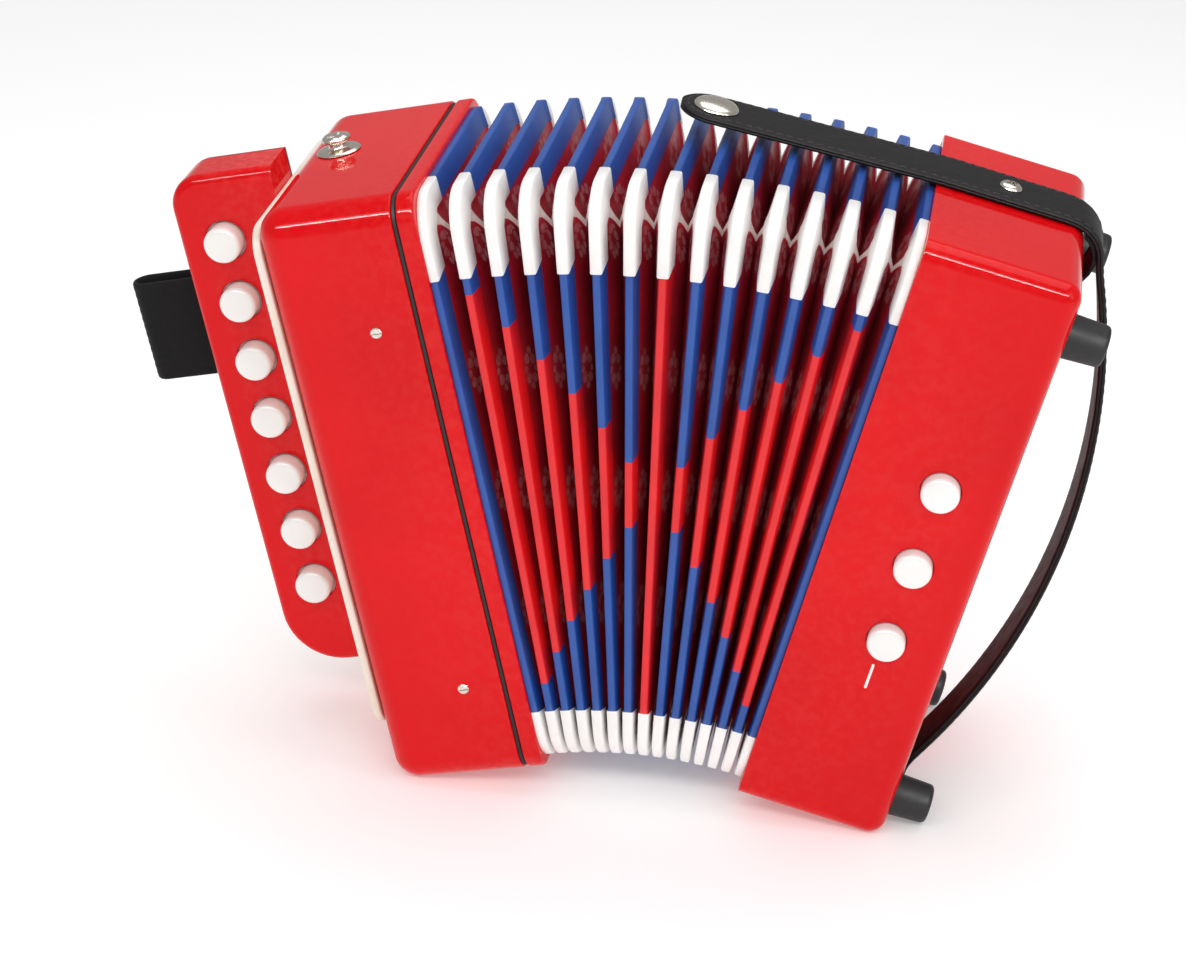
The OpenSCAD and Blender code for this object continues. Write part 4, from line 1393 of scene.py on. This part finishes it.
def thumb_loop():
    """A flat elastic band sewn into a long loop behind the fingerboard."""
    low, high = TREBLE.span("thumb_strap")
    thick = 1.6
    r = (high.y - low.y - thick) / 2
    mid_y = (high.y + low.y) / 2
    near, far = low.x + r + thick / 2, high.x - r - thick / 2
    leg_steps = 16
    line = arc(far, mid_y, r, -90, 90, 16)
    line += [(far + (near - far) * k / leg_steps, mid_y + r) for k in range(1, leg_steps)]
    line += arc(near, mid_y, r, 90, 270, 16)
    line += [(near + (far - near) * k / leg_steps, mid_y - r) for k in range(1, leg_steps)]
    line = [Vector(place) for place in line]
    ribs, rib_depth, edge = 12, 0.13, 0.5
    half_z = (high.z - low.z) / 2
    side = []
    for k in range(ribs * 4 + 1):
        z = -half_z + edge + 2 * (half_z - edge) * k / (ribs * 4)
        side.append((z, thick / 2 - rib_depth * math.cos(math.pi * k / 4) ** 2))
    upper = [*side, (half_z, 0.3)]
    lower = [(half_z, -0.3), *((z, -v) for z, v in reversed(side))]
    outline = [*upper, *lower, (-half_z, -0.3), (-half_z, 0.3)]
    rings = []
    for i, place in enumerate(line):
        along = (line[(i + 1) % len(line)] - line[i - 1]).normalized()
        out = Vector((along.y, -along.x))
        ring = []
        for z, v in outline:
            spot = place + out * v
            ring.append(TREBLE.point(spot.x, spot.y, (low.z + high.z) / 2 + z))
        rings.append(ring)
    band = loft("thumb_loop", rings, ELASTIC, closed=True, sharp_deg=60)
    finish_piece(band, "treble_side", "elastic", ["thumb_strap"])


thumb_loop()


# ---------- parts kept from the CAD ----------

KEPT_SURFACES = {
    "wood": WOOD, "reed_brass": BRASS, "lever_steel": STEEL, "felt": FELT, "spring_wire": WIRE,
    "nickel": NICKEL,
}
for subpart in frame["record"]["subparts"]:
    node = frame["nodes"][subpart["node"]]
    if not node.hide_render:
        node.data.materials.clear()
        node.data.materials.append(KEPT_SURFACES[subpart["material_slot"]])


# ---------- stage, light and camera ----------

def floor():
    made = Surface("pale_floor", 0.7)
    made.set("Base Color", srgb(250, 250, 250))
    made.set("Emission Color", (1, 1, 1, 1))
    made.set("Emission Strength", 0.22)
    made.relief(made.noise(0.01, 2), 0.2, 0.1)
    half = 4.0
    skin = Skin()
    skin.points = [Vector((x * half, y * half, 0)) for x, y in ((-1, -1), (1, -1), (1, 1), (-1, 1))]
    skin.face(range(4))
    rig.stage(skin.make("floor", [made.material]))


def softbox(name, place, target, width, height, watts, only_shine=False):
    """An area light that looks from one point to another, in metres; only_shine lights no matt surface."""
    light = bpy.data.lights.new(name, "AREA")
    light.shape = "RECTANGLE"
    light.size = width
    light.size_y = height
    light.energy = watts
    lamp = bpy.data.objects.new(name, light)
    lamp.location = place
    lamp.rotation_euler = (Vector(target) - Vector(place)).to_track_quat("-Z", "Y").to_euler()
    lamp.visible_diffuse = not only_shine
    bpy.context.scene.collection.objects.link(lamp)
    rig.stage(lamp)


def camera():
    """The view slightly from the right and from above, a little rolled."""
    azimuth, elevation, roll = (math.radians(angle) for angle in (8.62, 26.64, 1.91))
    distance = 0.9641
    target = Vector((-0.0012, 0.0019, 0.0964))
    flat = math.cos(elevation)
    back = Vector((math.sin(azimuth) * flat, -math.cos(azimuth) * flat, math.sin(elevation)))
    right = Vector((math.cos(azimuth), math.sin(azimuth), 0))
    up = back.cross(right)
    x_axis = right * math.cos(roll) + up * math.sin(roll)
    y_axis = up * math.cos(roll) - right * math.sin(roll)
    data = bpy.data.cameras.new("photo_view")
    data.lens = 85.34
    data.sensor_width = 36
    eye = bpy.data.objects.new("photo_view", data)
    turned = Matrix((x_axis, y_axis, back)).transposed().to_4x4()
    eye.matrix_world = Matrix.Translation(target + back * distance) @ turned
    bpy.context.scene.collection.objects.link(eye)
    bpy.context.scene.camera = eye


def world():
    made = bpy.data.worlds.new("white_room")
    made.use_nodes = True
    background = made.node_tree.nodes["Background"]
    background.inputs["Color"].default_value = (1, 1, 1, 1)
    background.inputs["Strength"].default_value = 0.4
    bpy.context.scene.world = made


floor()
softbox("top_light", (0.1, 0.3, 1.3), (0, 0, 0.1), 1.4, 1.0, 8)
softbox("key_light", (0, -1.0, 1.1), (0, 0, 0.1), 2.4, 0.3, 9)
softbox("edge_light", (0, -1.05, 1.05), (0, 0, 0.1), 2.4, 0.08, 35, only_shine=True)
softbox("bass_light", (1.2, -0.5, 0.7), (0.05, 0, 0.12), 0.4, 0.9, 2)
camera()
world()
bpy.context.scene.view_settings.view_transform = "Standard"

boxes = {"cad": cad_box, "visual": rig.bounds()}
with open("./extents.json", "w") as handle:
    json.dump({name: [list(corner) for corner in box] for name, box in boxes.items()}, handle)
